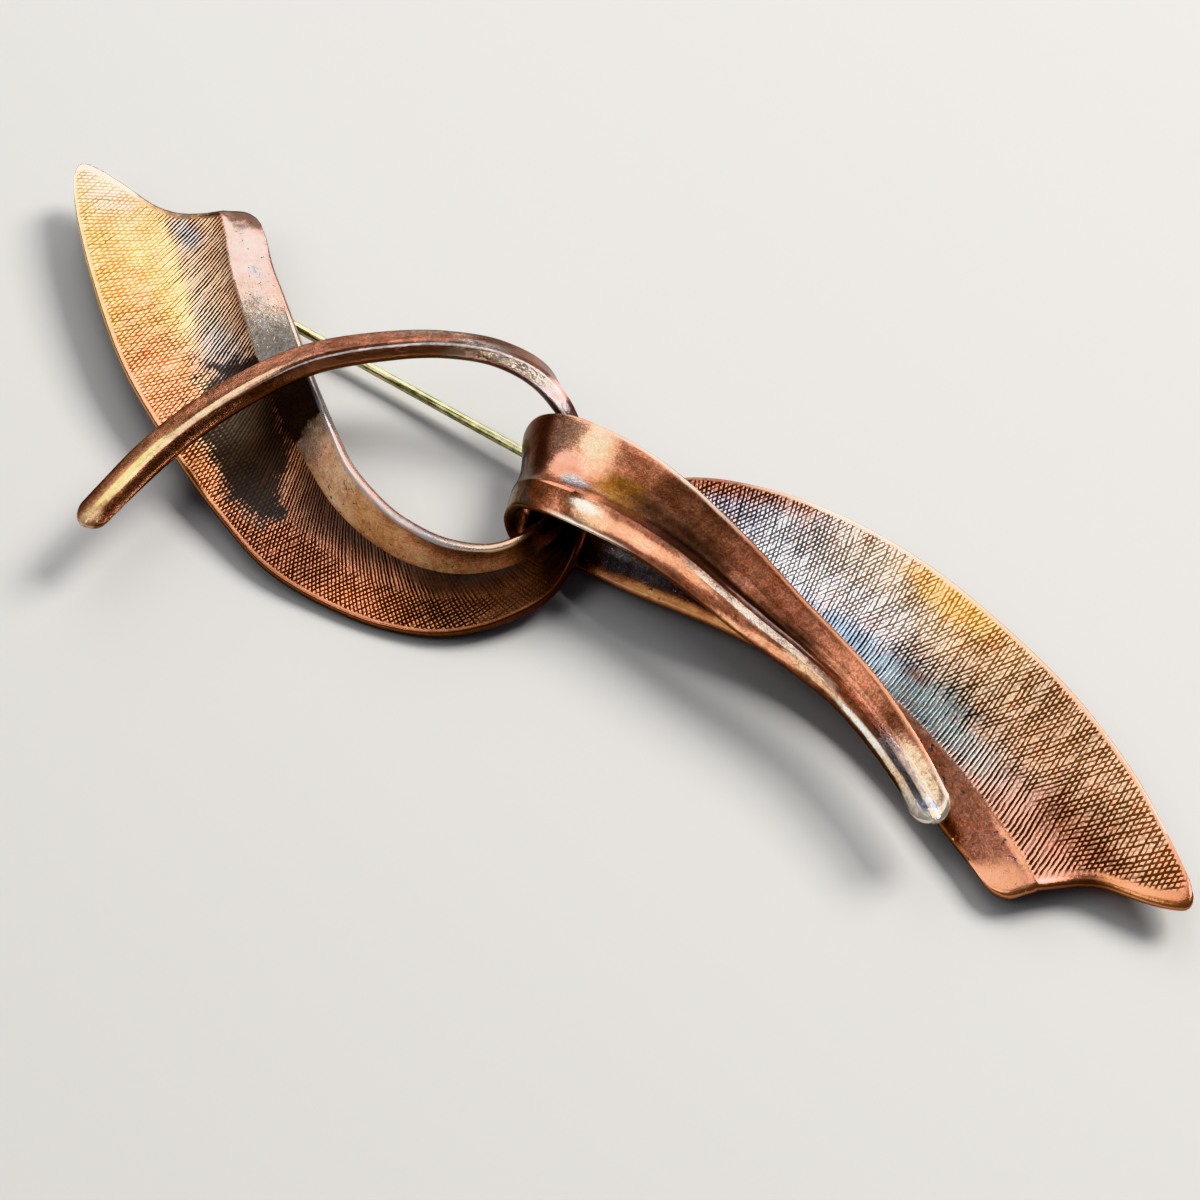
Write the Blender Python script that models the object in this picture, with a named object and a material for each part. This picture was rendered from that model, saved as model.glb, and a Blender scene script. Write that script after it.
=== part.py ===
"""Abstract brooch: two interlocking ribbons of sheet copper with a hinged brass pin.

Each ribbon is one sheet. It starts as a wide crescent blade with a textured face,
a crease and a narrow flange, narrows, curls up through the other ribbon's curl and
returns over its own blade as a tapering tail. Lengths are in metres, +Z is up, and
the brooch lies face up with its long axis along X.
"""

import math

import bmesh
import bpy
import numpy as np
from mathutils import Matrix, Vector

# Main sizes
LENGTH = 0.110
RISE = 0.008
BLADE_WIDTH = 0.0125
FLANGE_WIDTH = 0.004
SHEET = 0.0008
STATION_STEP = 0.0016

# Free corners and tips
CORNER_RADIUS = 0.0012
CUT_BLEND = 0.009
RIM_BULGE = 0.25

# Pin, hinge and catch
PIN_DIAMETER = 0.0008
PIN_POINT_DIAMETER = 0.0006
PIN_HEIGHT = 0.0013
PIN_START = (-0.335, -0.0148)
PIN_HEADING = 4.8
PIN_REACH = 0.467
PIN_TILT = 20.0
PIN_POINT_LENGTH = 0.003
FIT = 0.0002
EYE_RADIUS = 0.00065
EYE_WIDTH = 0.0009
RIVET_RADIUS = 0.0003
EAR_LENGTH = 0.0018
EAR_THICKNESS = 0.0005
CATCH_SHARE = 0.93
CATCH_WIDTH = 0.0016
CATCH_CLEARANCE = 0.0003
CATCH_THICKNESS = 0.00045
CATCH_START = 82.0
CATCH_END = 242.0

# Middle of the outline in the tables' plan, as shares of LENGTH. It is placed over the origin.
MIDDLE = (0.0043, -0.0819)

# A row is one section across a ribbon, taken at its crease.
# x, y: crease position as shares of LENGTH. lift: crease height as a share of RISE.
# heading, pitch: direction from the crease to the outer edge, in degrees.
# blade: width of the wide side as a share of BLADE_WIDTH.
# sag: depth of the trough as a share of that width, negative on the other face.
# flange: width of the narrow side as a share of FLANGE_WIDTH.
# fold: how far the flange is folded up from the flat, in degrees.
COLUMNS = ("x", "y", "lift", "heading", "pitch", "blade", "sag", "flange", "fold")

LEFT_ROWS = (
    (-0.387, 0.032, 0.42, 200, 3, 1.07, 0.06, 0.90, 2),
    (-0.362, 0.016, 0.41, 206, 3, 1.07, 0.07, 0.88, 4),
    (-0.335, -0.005, 0.40, 213, 3, 0.99, 0.08, 0.86, 8),
    (-0.302, -0.027, 0.39, 221, 3, 0.92, 0.08, 0.88, 14),
    (-0.255, -0.055, 0.37, 233, 2, 0.84, 0.08, 0.88, 22),
    (-0.200, -0.084, 0.33, 244, 0, 0.725, 0.08, 0.87, 34),
    (-0.153, -0.104, 0.29, 255, -4, 0.645, 0.08, 0.89, 46),
    (-0.111, -0.118, 0.26, 267, -8, 0.58, 0.08, 0.93, 56),
    (-0.075, -0.122, 0.24, 280, -12, 0.50, 0.08, 0.98, 62),
    (-0.043, -0.119, 0.24, 293, -14, 0.45, 0.08, 0.92, 66),
    (-0.012, -0.106, 0.25, 306, -12, 0.41, 0.07, 0.70, 68),
    (0.009, -0.086, 0.27, 321, -6, 0.36, 0.05, 0.51, 66),
    (0.021, -0.062, 0.30, 335, 4, 0.31, 0.02, 0.47, 62),
    (0.026, -0.040, 0.37, 348, 25, 0.20, 0.0, 0.42, 50),
    (0.020, -0.017, 0.45, 355, 50, 0.13, 0.0, 0.38, 45),
    (0.006, 0.005, 0.54, 330, 76, 0.11, 0.0, 0.38, 45),
    (-0.015, 0.025, 0.63, 292, 45, 0.10, 0.0, 0.42, 50),
    (-0.037, 0.036, 0.75, 284, 12, 0.10, 0.0, 0.40, 54),
    (-0.062, 0.040, 0.86, 280, -14, 0.095, 0.0, 0.37, 54),
    (-0.092, 0.032, 0.95, 290, -28, 0.085, 0.0, 0.32, 52),
    (-0.125, 0.012, 0.985, 307, -34, 0.08, 0.0, 0.32, 50),
    (-0.160, -0.022, 0.98, 317, -34, 0.08, 0.0, 0.41, 50),
    (-0.190, -0.064, 0.95, 327, -34, 0.08, 0.0, 0.48, 50),
    (-0.206, -0.110, 0.89, 342, -34, 0.08, 0.0, 0.50, 50),
    (-0.214, -0.152, 0.82, 352, -34, 0.08, 0.0, 0.50, 50),
    (-0.216, -0.190, 0.76, 360, -34, 0.08, 0.0, 0.46, 50),
    (-0.214, -0.224, 0.70, 366, -34, 0.08, 0.0, 0.43, 50),
    (-0.212, -0.256, 0.63, 370, -34, 0.08, 0.0, 0.40, 50),
)

RIGHT_ROWS = (
    (0.436, -0.059, 0.27, 34, 3, 0.84, 0.05, 0.80, -12),
    (0.408, -0.043, 0.28, 44, 4, 0.82, 0.06, 0.86, -12),
    (0.370, -0.027, 0.30, 54, 5, 0.83, 0.06, 0.86, -12),
    (0.327, -0.013, 0.32, 62, 6, 0.83, 0.07, 0.80, -12),
    (0.275, -0.002, 0.34, 71, 6, 0.82, 0.07, 0.70, -11),
    (0.220, 0.000, 0.36, 82, 6, 0.84, 0.07, 0.61, -9),
    (0.170, -0.005, 0.36, 90, 5.5, 0.85, 0.06, 0.55, -8),
    (0.122, -0.013, 0.34, 96, 4, 0.825, 0.05, 0.56, -9),
    (0.082, -0.018, 0.31, 103, 6, 0.66, 0.04, 0.62, -11),
    (0.052, -0.020, 0.27, 109, 7, 0.43, 0.02, 0.66, -12),
    (0.028, -0.023, 0.20, 113, 3, 0.28, 0.0, 0.63, -12),
    (0.007, -0.031, 0.12, 118, 0, 0.28, -0.03, 0.56, -12),
    (-0.010, -0.037, 0.20, 122, 0, 0.37, -0.05, 0.54, -10),
    (-0.017, -0.038, 0.42, 123, 0, 0.455, -0.06, 0.53, -6),
    (-0.012, -0.037, 0.66, 121, 0, 0.52, -0.06, 0.53, 0),
    (0.005, -0.036, 0.84, 116, 2, 0.535, -0.08, 0.54, 8),
    (0.032, -0.032, 0.92, 108, 4, 0.50, -0.12, 0.52, 18),
    (0.062, -0.028, 0.93, 100, 5, 0.465, -0.15, 0.48, 28),
    (0.090, -0.026, 0.92, 96, 5, 0.425, -0.17, 0.44, 32),
    (0.120, -0.026, 0.90, 92, 5, 0.38, -0.19, 0.42, 34),
    (0.155, -0.029, 0.87, 89, 5, 0.345, -0.20, 0.38, 36),
    (0.190, -0.032, 0.83, 84, 5, 0.295, -0.20, 0.34, 36),
    (0.226, -0.034, 0.79, 79, 5, 0.25, -0.20, 0.29, 36),
    (0.263, -0.038, 0.75, 73, 5, 0.21, -0.20, 0.24, 36),
    (0.303, -0.049, 0.71, 66, 5, 0.175, -0.20, 0.22, 36),
    (0.334, -0.061, 0.67, 61, 5, 0.155, -0.20, 0.22, 36),
    (0.361, -0.074, 0.63, 58, 5, 0.14, -0.20, 0.26, 36),
)

# Positions across a section: 1 is the blade's outer edge, 0 the crease, -1 the flange's rim.
ACROSS = (1.0, 0.985, 0.96, 0.92, 0.80, 0.63, 0.46, 0.31, 0.16, 0.0, -0.4, -0.75, -0.93, -1.0)

# Swallow cut at each blade's free end: its deepest place as a share of the blade's width, and its
# depth at positions across the section, as shares of that.
END_SIDES = np.array((-1.0, -0.65, -0.3, 0.0, 0.15, 0.33, 0.47, 0.57, 0.68, 0.82, 1.0))
END_SHARES = (0.0, 0.06, 0.30, 0.52, 0.80, 1.0, 0.87, 0.56, 0.24, 0.0, 0.0)
LEFT_CUT = 0.13
RIGHT_CUT = 0.13


def clear_scene():
    """Remove the objects that are already there."""
    for item in list(bpy.data.objects):
        bpy.data.objects.remove(item, do_unlink=True)


def make_material(name, color, roughness, metallic):
    """A plain metal finish."""
    material = bpy.data.materials.new(name)
    material.use_nodes = True
    shader = material.node_tree.nodes["Principled BSDF"]
    shader.inputs["Base Color"].default_value = (*color, 1.0)
    shader.inputs["Roughness"].default_value = roughness
    shader.inputs["Metallic"].default_value = metallic
    material.diffuse_color = (*color, 1.0)
    return material


def plan(x, y):
    """Metres from the origin for a place that is given in shares of the length."""
    return (x - MIDDLE[0]) * LENGTH, (y - MIDDLE[1]) * LENGTH


def direction(heading, pitch):
    """Unit vectors from headings and pitches in degrees."""
    around = np.radians(heading)
    above = np.radians(pitch)
    flat = np.cos(above)
    return np.stack([np.cos(around) * flat, np.sin(around) * flat, np.sin(above)], axis=-1)


def unit(vectors):
    """Vectors scaled to length one."""
    return vectors / np.linalg.norm(vectors, axis=-1, keepdims=True)


def smooth(knots, values, at):
    """Smooth curve through the rows' values, with the slope at a row taken from its neighbours."""
    values = np.asarray(values, float)
    rows = values.reshape(len(knots), -1)
    slopes = np.gradient(rows, knots, axis=0)
    at = np.clip(np.asarray(at, float), knots[0], knots[-1])
    low = np.clip(np.searchsorted(knots, at, side="right") - 1, 0, len(knots) - 2)
    span = (knots[low + 1] - knots[low])[..., None]
    u = (at[..., None] - knots[low][..., None]) / span
    start = (1 + 2 * u) * (1 - u) ** 2 * rows[low] + u * (1 - u) ** 2 * span * slopes[low]
    end = u * u * (3 - 2 * u) * rows[low + 1] + u * u * (u - 1) * span * slopes[low + 1]
    return (start + end).reshape(at.shape + values.shape[1:])


class Ribbon:
    """A folded sheet that is swept through the rows of a table."""

    def __init__(self, rows, cut):
        column = {name: np.array([row[i] for row in rows], float) for i, name in enumerate(COLUMNS)}
        x, y = plan(column["x"], column["y"])
        self.points = np.stack([x, y, column["lift"] * RISE], axis=1)
        steps = np.linalg.norm(np.diff(self.points, axis=0), axis=1)
        self.knots = np.concatenate([[0.0], np.cumsum(steps)])
        self.across = direction(column["heading"], column["pitch"])
        self.shape = np.stack(
            [
                column["blade"] * BLADE_WIDTH,
                column["sag"],
                column["flange"] * FLANGE_WIDTH,
                np.radians(column["fold"]),
            ],
            axis=1,
        )
        self.cut = cut
        self.total = self.knots[-1]

    def trims(self, side):
        """How much is cut away along the ribbon at its free end and at its tail's tip."""
        blade, _, flange, _ = self.shape[0]
        free = self.cut * blade * smooth(END_SIDES, END_SHARES, side)
        width = np.where(side > 0, blade, flange)
        into = np.clip(1 - (1 - np.abs(side)) * width / CORNER_RADIUS, 0.0, 1.0)
        free = free + CORNER_RADIUS * (1 - np.sqrt(1 - into * into))
        blade, _, flange, _ = self.shape[-1]
        middle = (blade - flange) / 2
        half = (blade + flange) / 2
        place = np.where(side > 0, side * blade, side * flange)
        out = np.clip((place - middle) / half, -1.0, 1.0)
        tip = half * (1 - np.sqrt(1 - 0.97 * out * out))
        return free, tip

    def along(self, start, side):
        """Path lengths of the points at a station, with the ends trimmed."""
        free, tip = self.trims(side)
        near = np.clip(1 - start / CUT_BLEND, 0.0, 1.0) ** 2
        far = np.clip(1 - (self.total - start) / CUT_BLEND, 0.0, 1.0) ** 2
        return start + free * near - tip * far

    def section(self, at, side):
        """Place of a point in its section's plane: along the across direction, and along the normal."""
        blade, sag, flange, fold = np.moveaxis(smooth(self.knots, self.shape, at), -1, 0)
        wide = np.clip(side, 0.0, 1.0)
        narrow = np.clip(-side, 0.0, 1.0)
        hollow = wide * (1 - wide) ** 1.5 / 0.186
        forward = blade * wide - flange * narrow * np.cos(fold)
        upward = -sag * blade * hollow + flange * narrow * np.sin(fold)
        return np.stack([forward, upward], axis=-1)

    def frames(self, at):
        """Crease point, across direction and face normal."""
        place = smooth(self.knots, self.points, at)
        ahead = smooth(self.knots, self.points, at + FIT) - smooth(self.knots, self.points, at - FIT)
        across = unit(smooth(self.knots, self.across, at))
        normal = unit(np.cross(across, unit(ahead)))
        return place, across, normal

    def surface(self, start, side, offset):
        """Points of the sheet at an offset from its middle, on the face's side or on the back."""
        start, side = np.broadcast_arrays(np.asarray(start, float), np.asarray(side, float))
        at = self.along(start, side)
        here = self.section(at, side)
        small = 0.02
        toward_rim = unit(here - self.section(at, np.clip(side + small, -1, 1)) + [1e-12, 0])
        toward_edge = unit(self.section(at, np.clip(side - small, -1, 1)) - here + [1e-12, 0])
        toward_rim = np.where((side >= 1.0)[..., None], toward_edge, toward_rim)
        toward_edge = np.where((side <= -1.0)[..., None], toward_rim, toward_edge)
        first = np.stack([toward_rim[..., 1], -toward_rim[..., 0]], axis=-1)
        second = np.stack([toward_edge[..., 1], -toward_edge[..., 0]], axis=-1)
        mitre = unit(first + second)
        mitre = mitre / np.maximum(np.sum(mitre * first, axis=-1, keepdims=True), 0.5)
        flat = here + mitre * offset
        place, across, normal = self.frames(at)
        return place + across * flat[..., :1] + normal * flat[..., 1:]

    def rim(self, start, side):
        """Points in the middle of a rim, pushed out a little so that the edge is rounded."""
        middle = self.surface(start, side, 0.0)
        inner = self.surface(start, side * 0.97, 0.0)
        return middle + unit(middle - inner) * SHEET * RIM_BULGE

    def height_at(self, x, y):
        """Height of the blade's middle surface above a point of the plan."""
        start, side = np.meshgrid(np.linspace(0, self.total * 0.5, 400), np.linspace(-1, 1, 120))
        cloud = self.surface(start, side, 0.0).reshape(-1, 3)
        away = (cloud[:, 0] - x) ** 2 + (cloud[:, 1] - y) ** 2
        nearest = np.argsort(away)[:4]
        return float(cloud[nearest, 2].mean())


def ribbon_object(name, ribbon, material):
    """A closed mesh: rings round the sheet from its free end to its tail's tip."""
    stations = max(12, round(ribbon.total / STATION_STEP))
    start = np.linspace(0.0, ribbon.total, stations)
    side = np.array(ACROSS)
    grid_start, grid_side = np.meshgrid(start, side, indexing="ij")
    face = ribbon.surface(grid_start, grid_side, SHEET / 2)
    back = ribbon.surface(grid_start, grid_side, -SHEET / 2)
    outer = ribbon.rim(start, np.full(stations, side[0]))[:, None]
    inner = ribbon.rim(start, np.full(stations, side[-1]))[:, None]
    rings = np.concatenate([face, inner, back[:, ::-1], outer], axis=1)
    count = rings.shape[1]
    faces = []
    for i in range(stations - 1):
        for j in range(count):
            k = (j + 1) % count
            faces.append((i * count + j, i * count + k, (i + 1) * count + k, (i + 1) * count + j))
    last = (stations - 1) * count
    width = len(side)
    for j in range(width - 1):
        mate = 2 * width - j
        faces.append((j + 1, j, mate, mate - 1))
        faces.append((last + j, last + j + 1, last + mate - 1, last + mate))
    faces.append((width, width - 1, width + 1))
    faces.append((last + width - 1, last + width, last + width + 1))
    faces.append((0, count - 1, 2 * width))
    faces.append((last + count - 1, last, last + 2 * width))
    return mesh_object(name, rings.reshape(-1, 3), faces, material)


def mesh_object(name, points, faces, material):
    """A named object with its faces turned outward."""
    mesh = bpy.data.meshes.new(name)
    mesh.from_pydata([tuple(point) for point in points], [], faces)
    work = bmesh.new()
    work.from_mesh(mesh)
    bmesh.ops.recalc_face_normals(work, faces=work.faces)
    bmesh.ops.triangulate(work, faces=work.faces)
    work.to_mesh(mesh)
    work.free()
    item = bpy.data.objects.new(name, mesh)
    bpy.context.scene.collection.objects.link(item)
    mesh.materials.append(material)
    return item


def pin_axes():
    """Hinge point and the pin's directions: along it, along its rivet, and up to the blade."""
    base = Vector((*plan(*PIN_START), PIN_HEIGHT))
    forward = Vector(direction(PIN_HEADING, 0.0))
    level = Vector((forward.y, -forward.x, 0.0))
    tilt = math.radians(PIN_TILT)
    axis = level * math.cos(tilt) + Vector((0, 0, 1)) * math.sin(tilt)
    return base, forward, axis, axis.cross(forward)


def frame_matrix(place, x_axis, y_axis, z_axis):
    """A matrix that carries X, Y and Z onto three directions at a place."""
    turn = Matrix((x_axis, y_axis, z_axis)).transposed()
    return Matrix.Translation(place) @ turn.to_4x4()


def round_bar(name, matrix, rings, sides, material):
    """A bar of round sections along its own X, given as distance and radius."""
    points = []
    for distance, radius in rings:
        for k in range(sides):
            turn = 2 * math.pi * k / sides
            points.append(matrix @ Vector((distance, radius * math.cos(turn), radius * math.sin(turn))))
    faces = [tuple(range(sides - 1, -1, -1))]
    for i in range(len(rings) - 1):
        for k in range(sides):
            n = (k + 1) % sides
            faces.append((i * sides + k, i * sides + n, (i + 1) * sides + n, (i + 1) * sides + k))
    first = (len(rings) - 1) * sides
    faces.append(tuple(range(first, first + sides)))
    return mesh_object(name, points, faces, material)


def boolean(target, cutter, operation):
    """Combine two solids and remove the second."""
    step = target.modifiers.new("combine", "BOOLEAN")
    step.object = cutter
    step.operation = operation
    step.solver = "EXACT"
    graph = bpy.context.evaluated_depsgraph_get()
    mesh = bpy.data.meshes.new_from_object(target.evaluated_get(graph))
    target.modifiers.clear()
    old = target.data
    target.data = mesh
    bpy.data.meshes.remove(old)
    bpy.data.objects.remove(cutter, do_unlink=True)


def hinge_ear(ribbon, offset, material):
    """One ear: a plate from the blade down to the plane that the brooch rests on, with the rivet's hole."""
    base, forward, axis, up = pin_axes()
    center = base + axis * offset
    points = []
    for shift in (-EAR_THICKNESS / 2, EAR_THICKNESS / 2):
        for end in (-EAR_LENGTH / 2, EAR_LENGTH / 2):
            side = center + axis * shift + forward * end
            foot = side - up * (side.z / up.z)
            head = side
            for _ in range(6):
                head = head + up * ((ribbon.height_at(head.x, head.y) - head.z) / up.z)
            points.extend((foot, head))
    faces = [(0, 1, 3, 2), (4, 6, 7, 5), (0, 2, 6, 4), (1, 5, 7, 3), (0, 4, 5, 1), (2, 3, 7, 6)]
    ear = mesh_object("ear", points, faces, material)
    hole = frame_matrix(center - axis * EAR_THICKNESS, axis, forward, up)
    radius = RIVET_RADIUS + FIT
    cutter = round_bar("hole", hole, ((0.0, radius), (2 * EAR_THICKNESS, radius)), 16, material)
    boolean(ear, cutter, "DIFFERENCE")
    return ear


def catch_hook(ribbon, material):
    """A strip that is soldered under the blade and bent round the pin, open where the pin swings out."""
    base, forward, axis, up = pin_axes()
    level = Vector((forward.y, -forward.x, 0.0))
    center = base + forward * (PIN_REACH * LENGTH * CATCH_SHARE)
    inner = PIN_POINT_DIAMETER / 2 + CATCH_CLEARANCE
    outer = inner + CATCH_THICKNESS
    points = []
    turns = [math.radians(CATCH_START + (CATCH_END - CATCH_START) * k / 12) for k in range(13)]
    for shift in (-CATCH_WIDTH / 2, CATCH_WIDTH / 2):
        for radius in (outer, inner):
            for turn in turns:
                step = level * radius * math.cos(turn) + Vector((0, 0, 1)) * radius * math.sin(turn)
                points.append(center + forward * shift + step)
    count = len(turns)
    faces = []
    for k in range(count - 1):
        faces.append((k, k + 1, 2 * count + k + 1, 2 * count + k))
        faces.append((count + k + 1, count + k, 3 * count + k, 3 * count + k + 1))
        faces.append((k + 1, k, count + k, count + k + 1))
        faces.append((2 * count + k, 2 * count + k + 1, 3 * count + k + 1, 3 * count + k))
    faces.append((0, 2 * count, 3 * count, count))
    faces.append((count - 1, 2 * count - 1, 4 * count - 1, 3 * count - 1))
    hook = mesh_object("hook", points, faces, material)
    foot = post_under(ribbon, center, forward, level, PIN_HEIGHT + inner + CATCH_THICKNESS * 0.4, outer, material)
    boolean(hook, foot, "UNION")
    return hook


def post_under(ribbon, center, forward, level, bottom, half_depth, material):
    """A small block between a height and the underside of a blade."""
    points = []
    for top in (False, True):
        for a, b in ((-1, -1), (1, -1), (1, 1), (-1, 1)):
            place = center + forward * (a * CATCH_WIDTH / 2) + level * (b * half_depth * 0.8)
            height = ribbon.height_at(place.x, place.y) if top else bottom
            points.append(Vector((place.x, place.y, height)))
    faces = [(3, 2, 1, 0), (4, 5, 6, 7), (0, 1, 5, 4), (1, 2, 6, 5), (2, 3, 7, 6), (3, 0, 4, 7)]
    return mesh_object("foot", points, faces, material)


def pin_stem(material):
    """The pin with its eye and rivet. Its origin is on the hinge axis."""
    base, forward, axis, up = pin_axes()
    reach = PIN_REACH * LENGTH
    wide = PIN_DIAMETER / 2
    narrow = PIN_POINT_DIAMETER / 2
    wire = frame_matrix(Vector((0, 0, 0)), forward, axis, forward.cross(axis))
    rings = (
        (0.0, wide),
        (reach * 0.55, wide),
        (reach - PIN_POINT_LENGTH, narrow),
        (reach - PIN_POINT_LENGTH * 0.4, narrow * 0.62),
        (reach, narrow * 0.12),
    )
    pin = round_bar("pin_stem", wire, rings, 16, material)
    cross = frame_matrix(axis * (-EYE_WIDTH / 2), axis, forward, up)
    eye = round_bar("eye", cross, ((0.0, EYE_RADIUS), (EYE_WIDTH, EYE_RADIUS)), 24, material)
    boolean(pin, eye, "UNION")
    half = EYE_WIDTH / 2 + FIT + EAR_THICKNESS
    through = frame_matrix(axis * (-half), axis, forward, up)
    rivet = round_bar("rivet", through, ((0.0, RIVET_RADIUS), (2 * half, RIVET_RADIUS)), 16, material)
    boolean(pin, rivet, "UNION")
    pin.location = base
    return pin


def shade(item):
    """Smooth the faces and keep the creases and rims sharp."""
    for polygon in item.data.polygons:
        polygon.use_smooth = True
    item.data.set_sharp_from_angle(angle=math.radians(32))


def main():
    """Build the three pieces."""
    clear_scene()
    left_copper = make_material("left_ribbon", (0.56, 0.27, 0.13), 0.34, 1.0)
    right_copper = make_material("right_ribbon", (0.60, 0.29, 0.15), 0.32, 1.0)
    pin_brass = make_material("pin_stem", (0.72, 0.68, 0.33), 0.28, 1.0)

    left = Ribbon(LEFT_ROWS, LEFT_CUT)
    left_item = ribbon_object("left_ribbon", left, left_copper)
    spread = EYE_WIDTH / 2 + FIT + EAR_THICKNESS / 2
    for offset in (-spread, spread):
        boolean(left_item, hinge_ear(left, offset, left_copper), "UNION")

    right = Ribbon(RIGHT_ROWS, RIGHT_CUT)
    right_item = ribbon_object("right_ribbon", right, right_copper)
    boolean(right_item, catch_hook(right, right_copper), "UNION")

    pin_item = pin_stem(pin_brass)
    for item in (left_item, right_item, pin_item):
        shade(item)


main()
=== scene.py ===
"""Dressed scene of the abstract brooch: copper ribbons, brass pin, floor, light and camera."""

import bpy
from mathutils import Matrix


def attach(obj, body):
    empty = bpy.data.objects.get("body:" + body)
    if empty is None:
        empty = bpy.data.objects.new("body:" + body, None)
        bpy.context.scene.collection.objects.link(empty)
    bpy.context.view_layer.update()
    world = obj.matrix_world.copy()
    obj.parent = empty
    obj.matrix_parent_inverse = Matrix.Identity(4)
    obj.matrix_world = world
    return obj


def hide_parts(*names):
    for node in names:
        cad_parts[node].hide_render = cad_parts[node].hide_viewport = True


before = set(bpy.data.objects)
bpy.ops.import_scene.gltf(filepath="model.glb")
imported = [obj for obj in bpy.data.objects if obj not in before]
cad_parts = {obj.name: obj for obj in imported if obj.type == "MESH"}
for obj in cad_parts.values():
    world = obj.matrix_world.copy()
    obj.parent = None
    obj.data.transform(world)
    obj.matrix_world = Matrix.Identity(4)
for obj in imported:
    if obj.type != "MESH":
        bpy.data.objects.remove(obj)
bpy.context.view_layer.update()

import math

import bmesh
import bpy
import numpy as np
from mathutils import Matrix, Vector

# Main sizes, as in the part
LENGTH = 0.110
RISE = 0.008
BLADE_WIDTH = 0.0125
FLANGE_WIDTH = 0.004
SHEET = 0.0008
CORNER_RADIUS = 0.0012
CUT_BLEND = 0.009
RIM_BULGE = 0.23
MIDDLE = (0.0043, -0.0819)
CUT = 0.13
END_SIDES = np.array((-1.0, -0.65, -0.3, 0.0, 0.15, 0.33, 0.47, 0.57, 0.68, 0.82, 1.0))
END_SHARES = (0.0, 0.06, 0.30, 0.52, 0.80, 1.0, 0.87, 0.56, 0.24, 0.0, 0.0)

# Pin, hinge and catch, as in the part
PIN_DIAMETER = 0.0008
PIN_POINT_DIAMETER = 0.0006
PIN_HEIGHT = 0.0013
PIN_START = (-0.335, -0.0148)
PIN_HEADING = 4.8
PIN_REACH = 0.467
PIN_TILT = 20.0
PIN_POINT_LENGTH = 0.003
FIT = 0.0002
EYE_RADIUS = 0.00065
EYE_WIDTH = 0.0009
RIVET_RADIUS = 0.0003
EAR_LENGTH = 0.0018
EAR_THICKNESS = 0.0005
CATCH_SHARE = 0.93
CATCH_WIDTH = 0.0016
CATCH_CLEARANCE = 0.0003
CATCH_THICKNESS = 0.00045
CATCH_START = 82.0
CATCH_END = 242.0

# Fine mesh
STATION_STEP = 0.00024
FACE_POINTS = 34
FLANGE_POINTS = 14
RIM_POINTS = 5
END_ROUND = 0.0005
END_BEVEL = 0.0007
BACK_ROUND = END_ROUND * 0.6
END_THIN = 0.22
STATION_GAP = 0.0002
HOLLOW_PEAK = 0.186
SKIN = 0.495
ROUND_SIDES = 32
EYE_SIDES = 48
HOOK_BENDS = 24
EDGE_BEVEL = 0.00005
EYE_ROUND = 0.00012
RIVET_DOME = 0.00008
PIN_TAPER_START = 0.55
HEIGHT_STEPS = 6

# Camera
TARGET = (0.00713, 0.00361, 0.0)
AZIMUTH = 40.82
ELEVATION = 52.0
DISTANCE = 0.1803
LENS = 72.0
SENSOR = 36.0
NEAREST = 0.01

# Room: floor, surround and soft lights with place, size, power and colour
FLOOR_HALF = 3.0
FLOOR_COLOR = (0.36, 0.355, 0.345)
SURROUND = (0.85, 0.90, 1.0)
SURROUND_STRENGTH = 0.32
LIGHTS = (
    ("key", (0.15, 0.38, 0.42), 0.26, 6.8, (1.0, 0.97, 0.93)),
    ("sky", (-0.340, 0.330, 0.395), 0.48, 2.6, (1.0, 0.98, 0.96)),
    ("front", (-0.15, -0.33, 0.47), 0.32, 0.75, (1.0, 0.98, 0.96)),
    ("top", (-0.13, 0.04, 0.58), 0.28, 0.60, (0.98, 0.99, 1.0)),
)

MM = 1000.0

# One row a section: crease x, y as shares of LENGTH, lift as a share of RISE, heading and pitch of the
# blade in degrees, blade width share, trough depth share, flange width share, flange fold in degrees.
COLUMNS = ("x", "y", "lift", "heading", "pitch", "blade", "sag", "flange", "fold")

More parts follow.
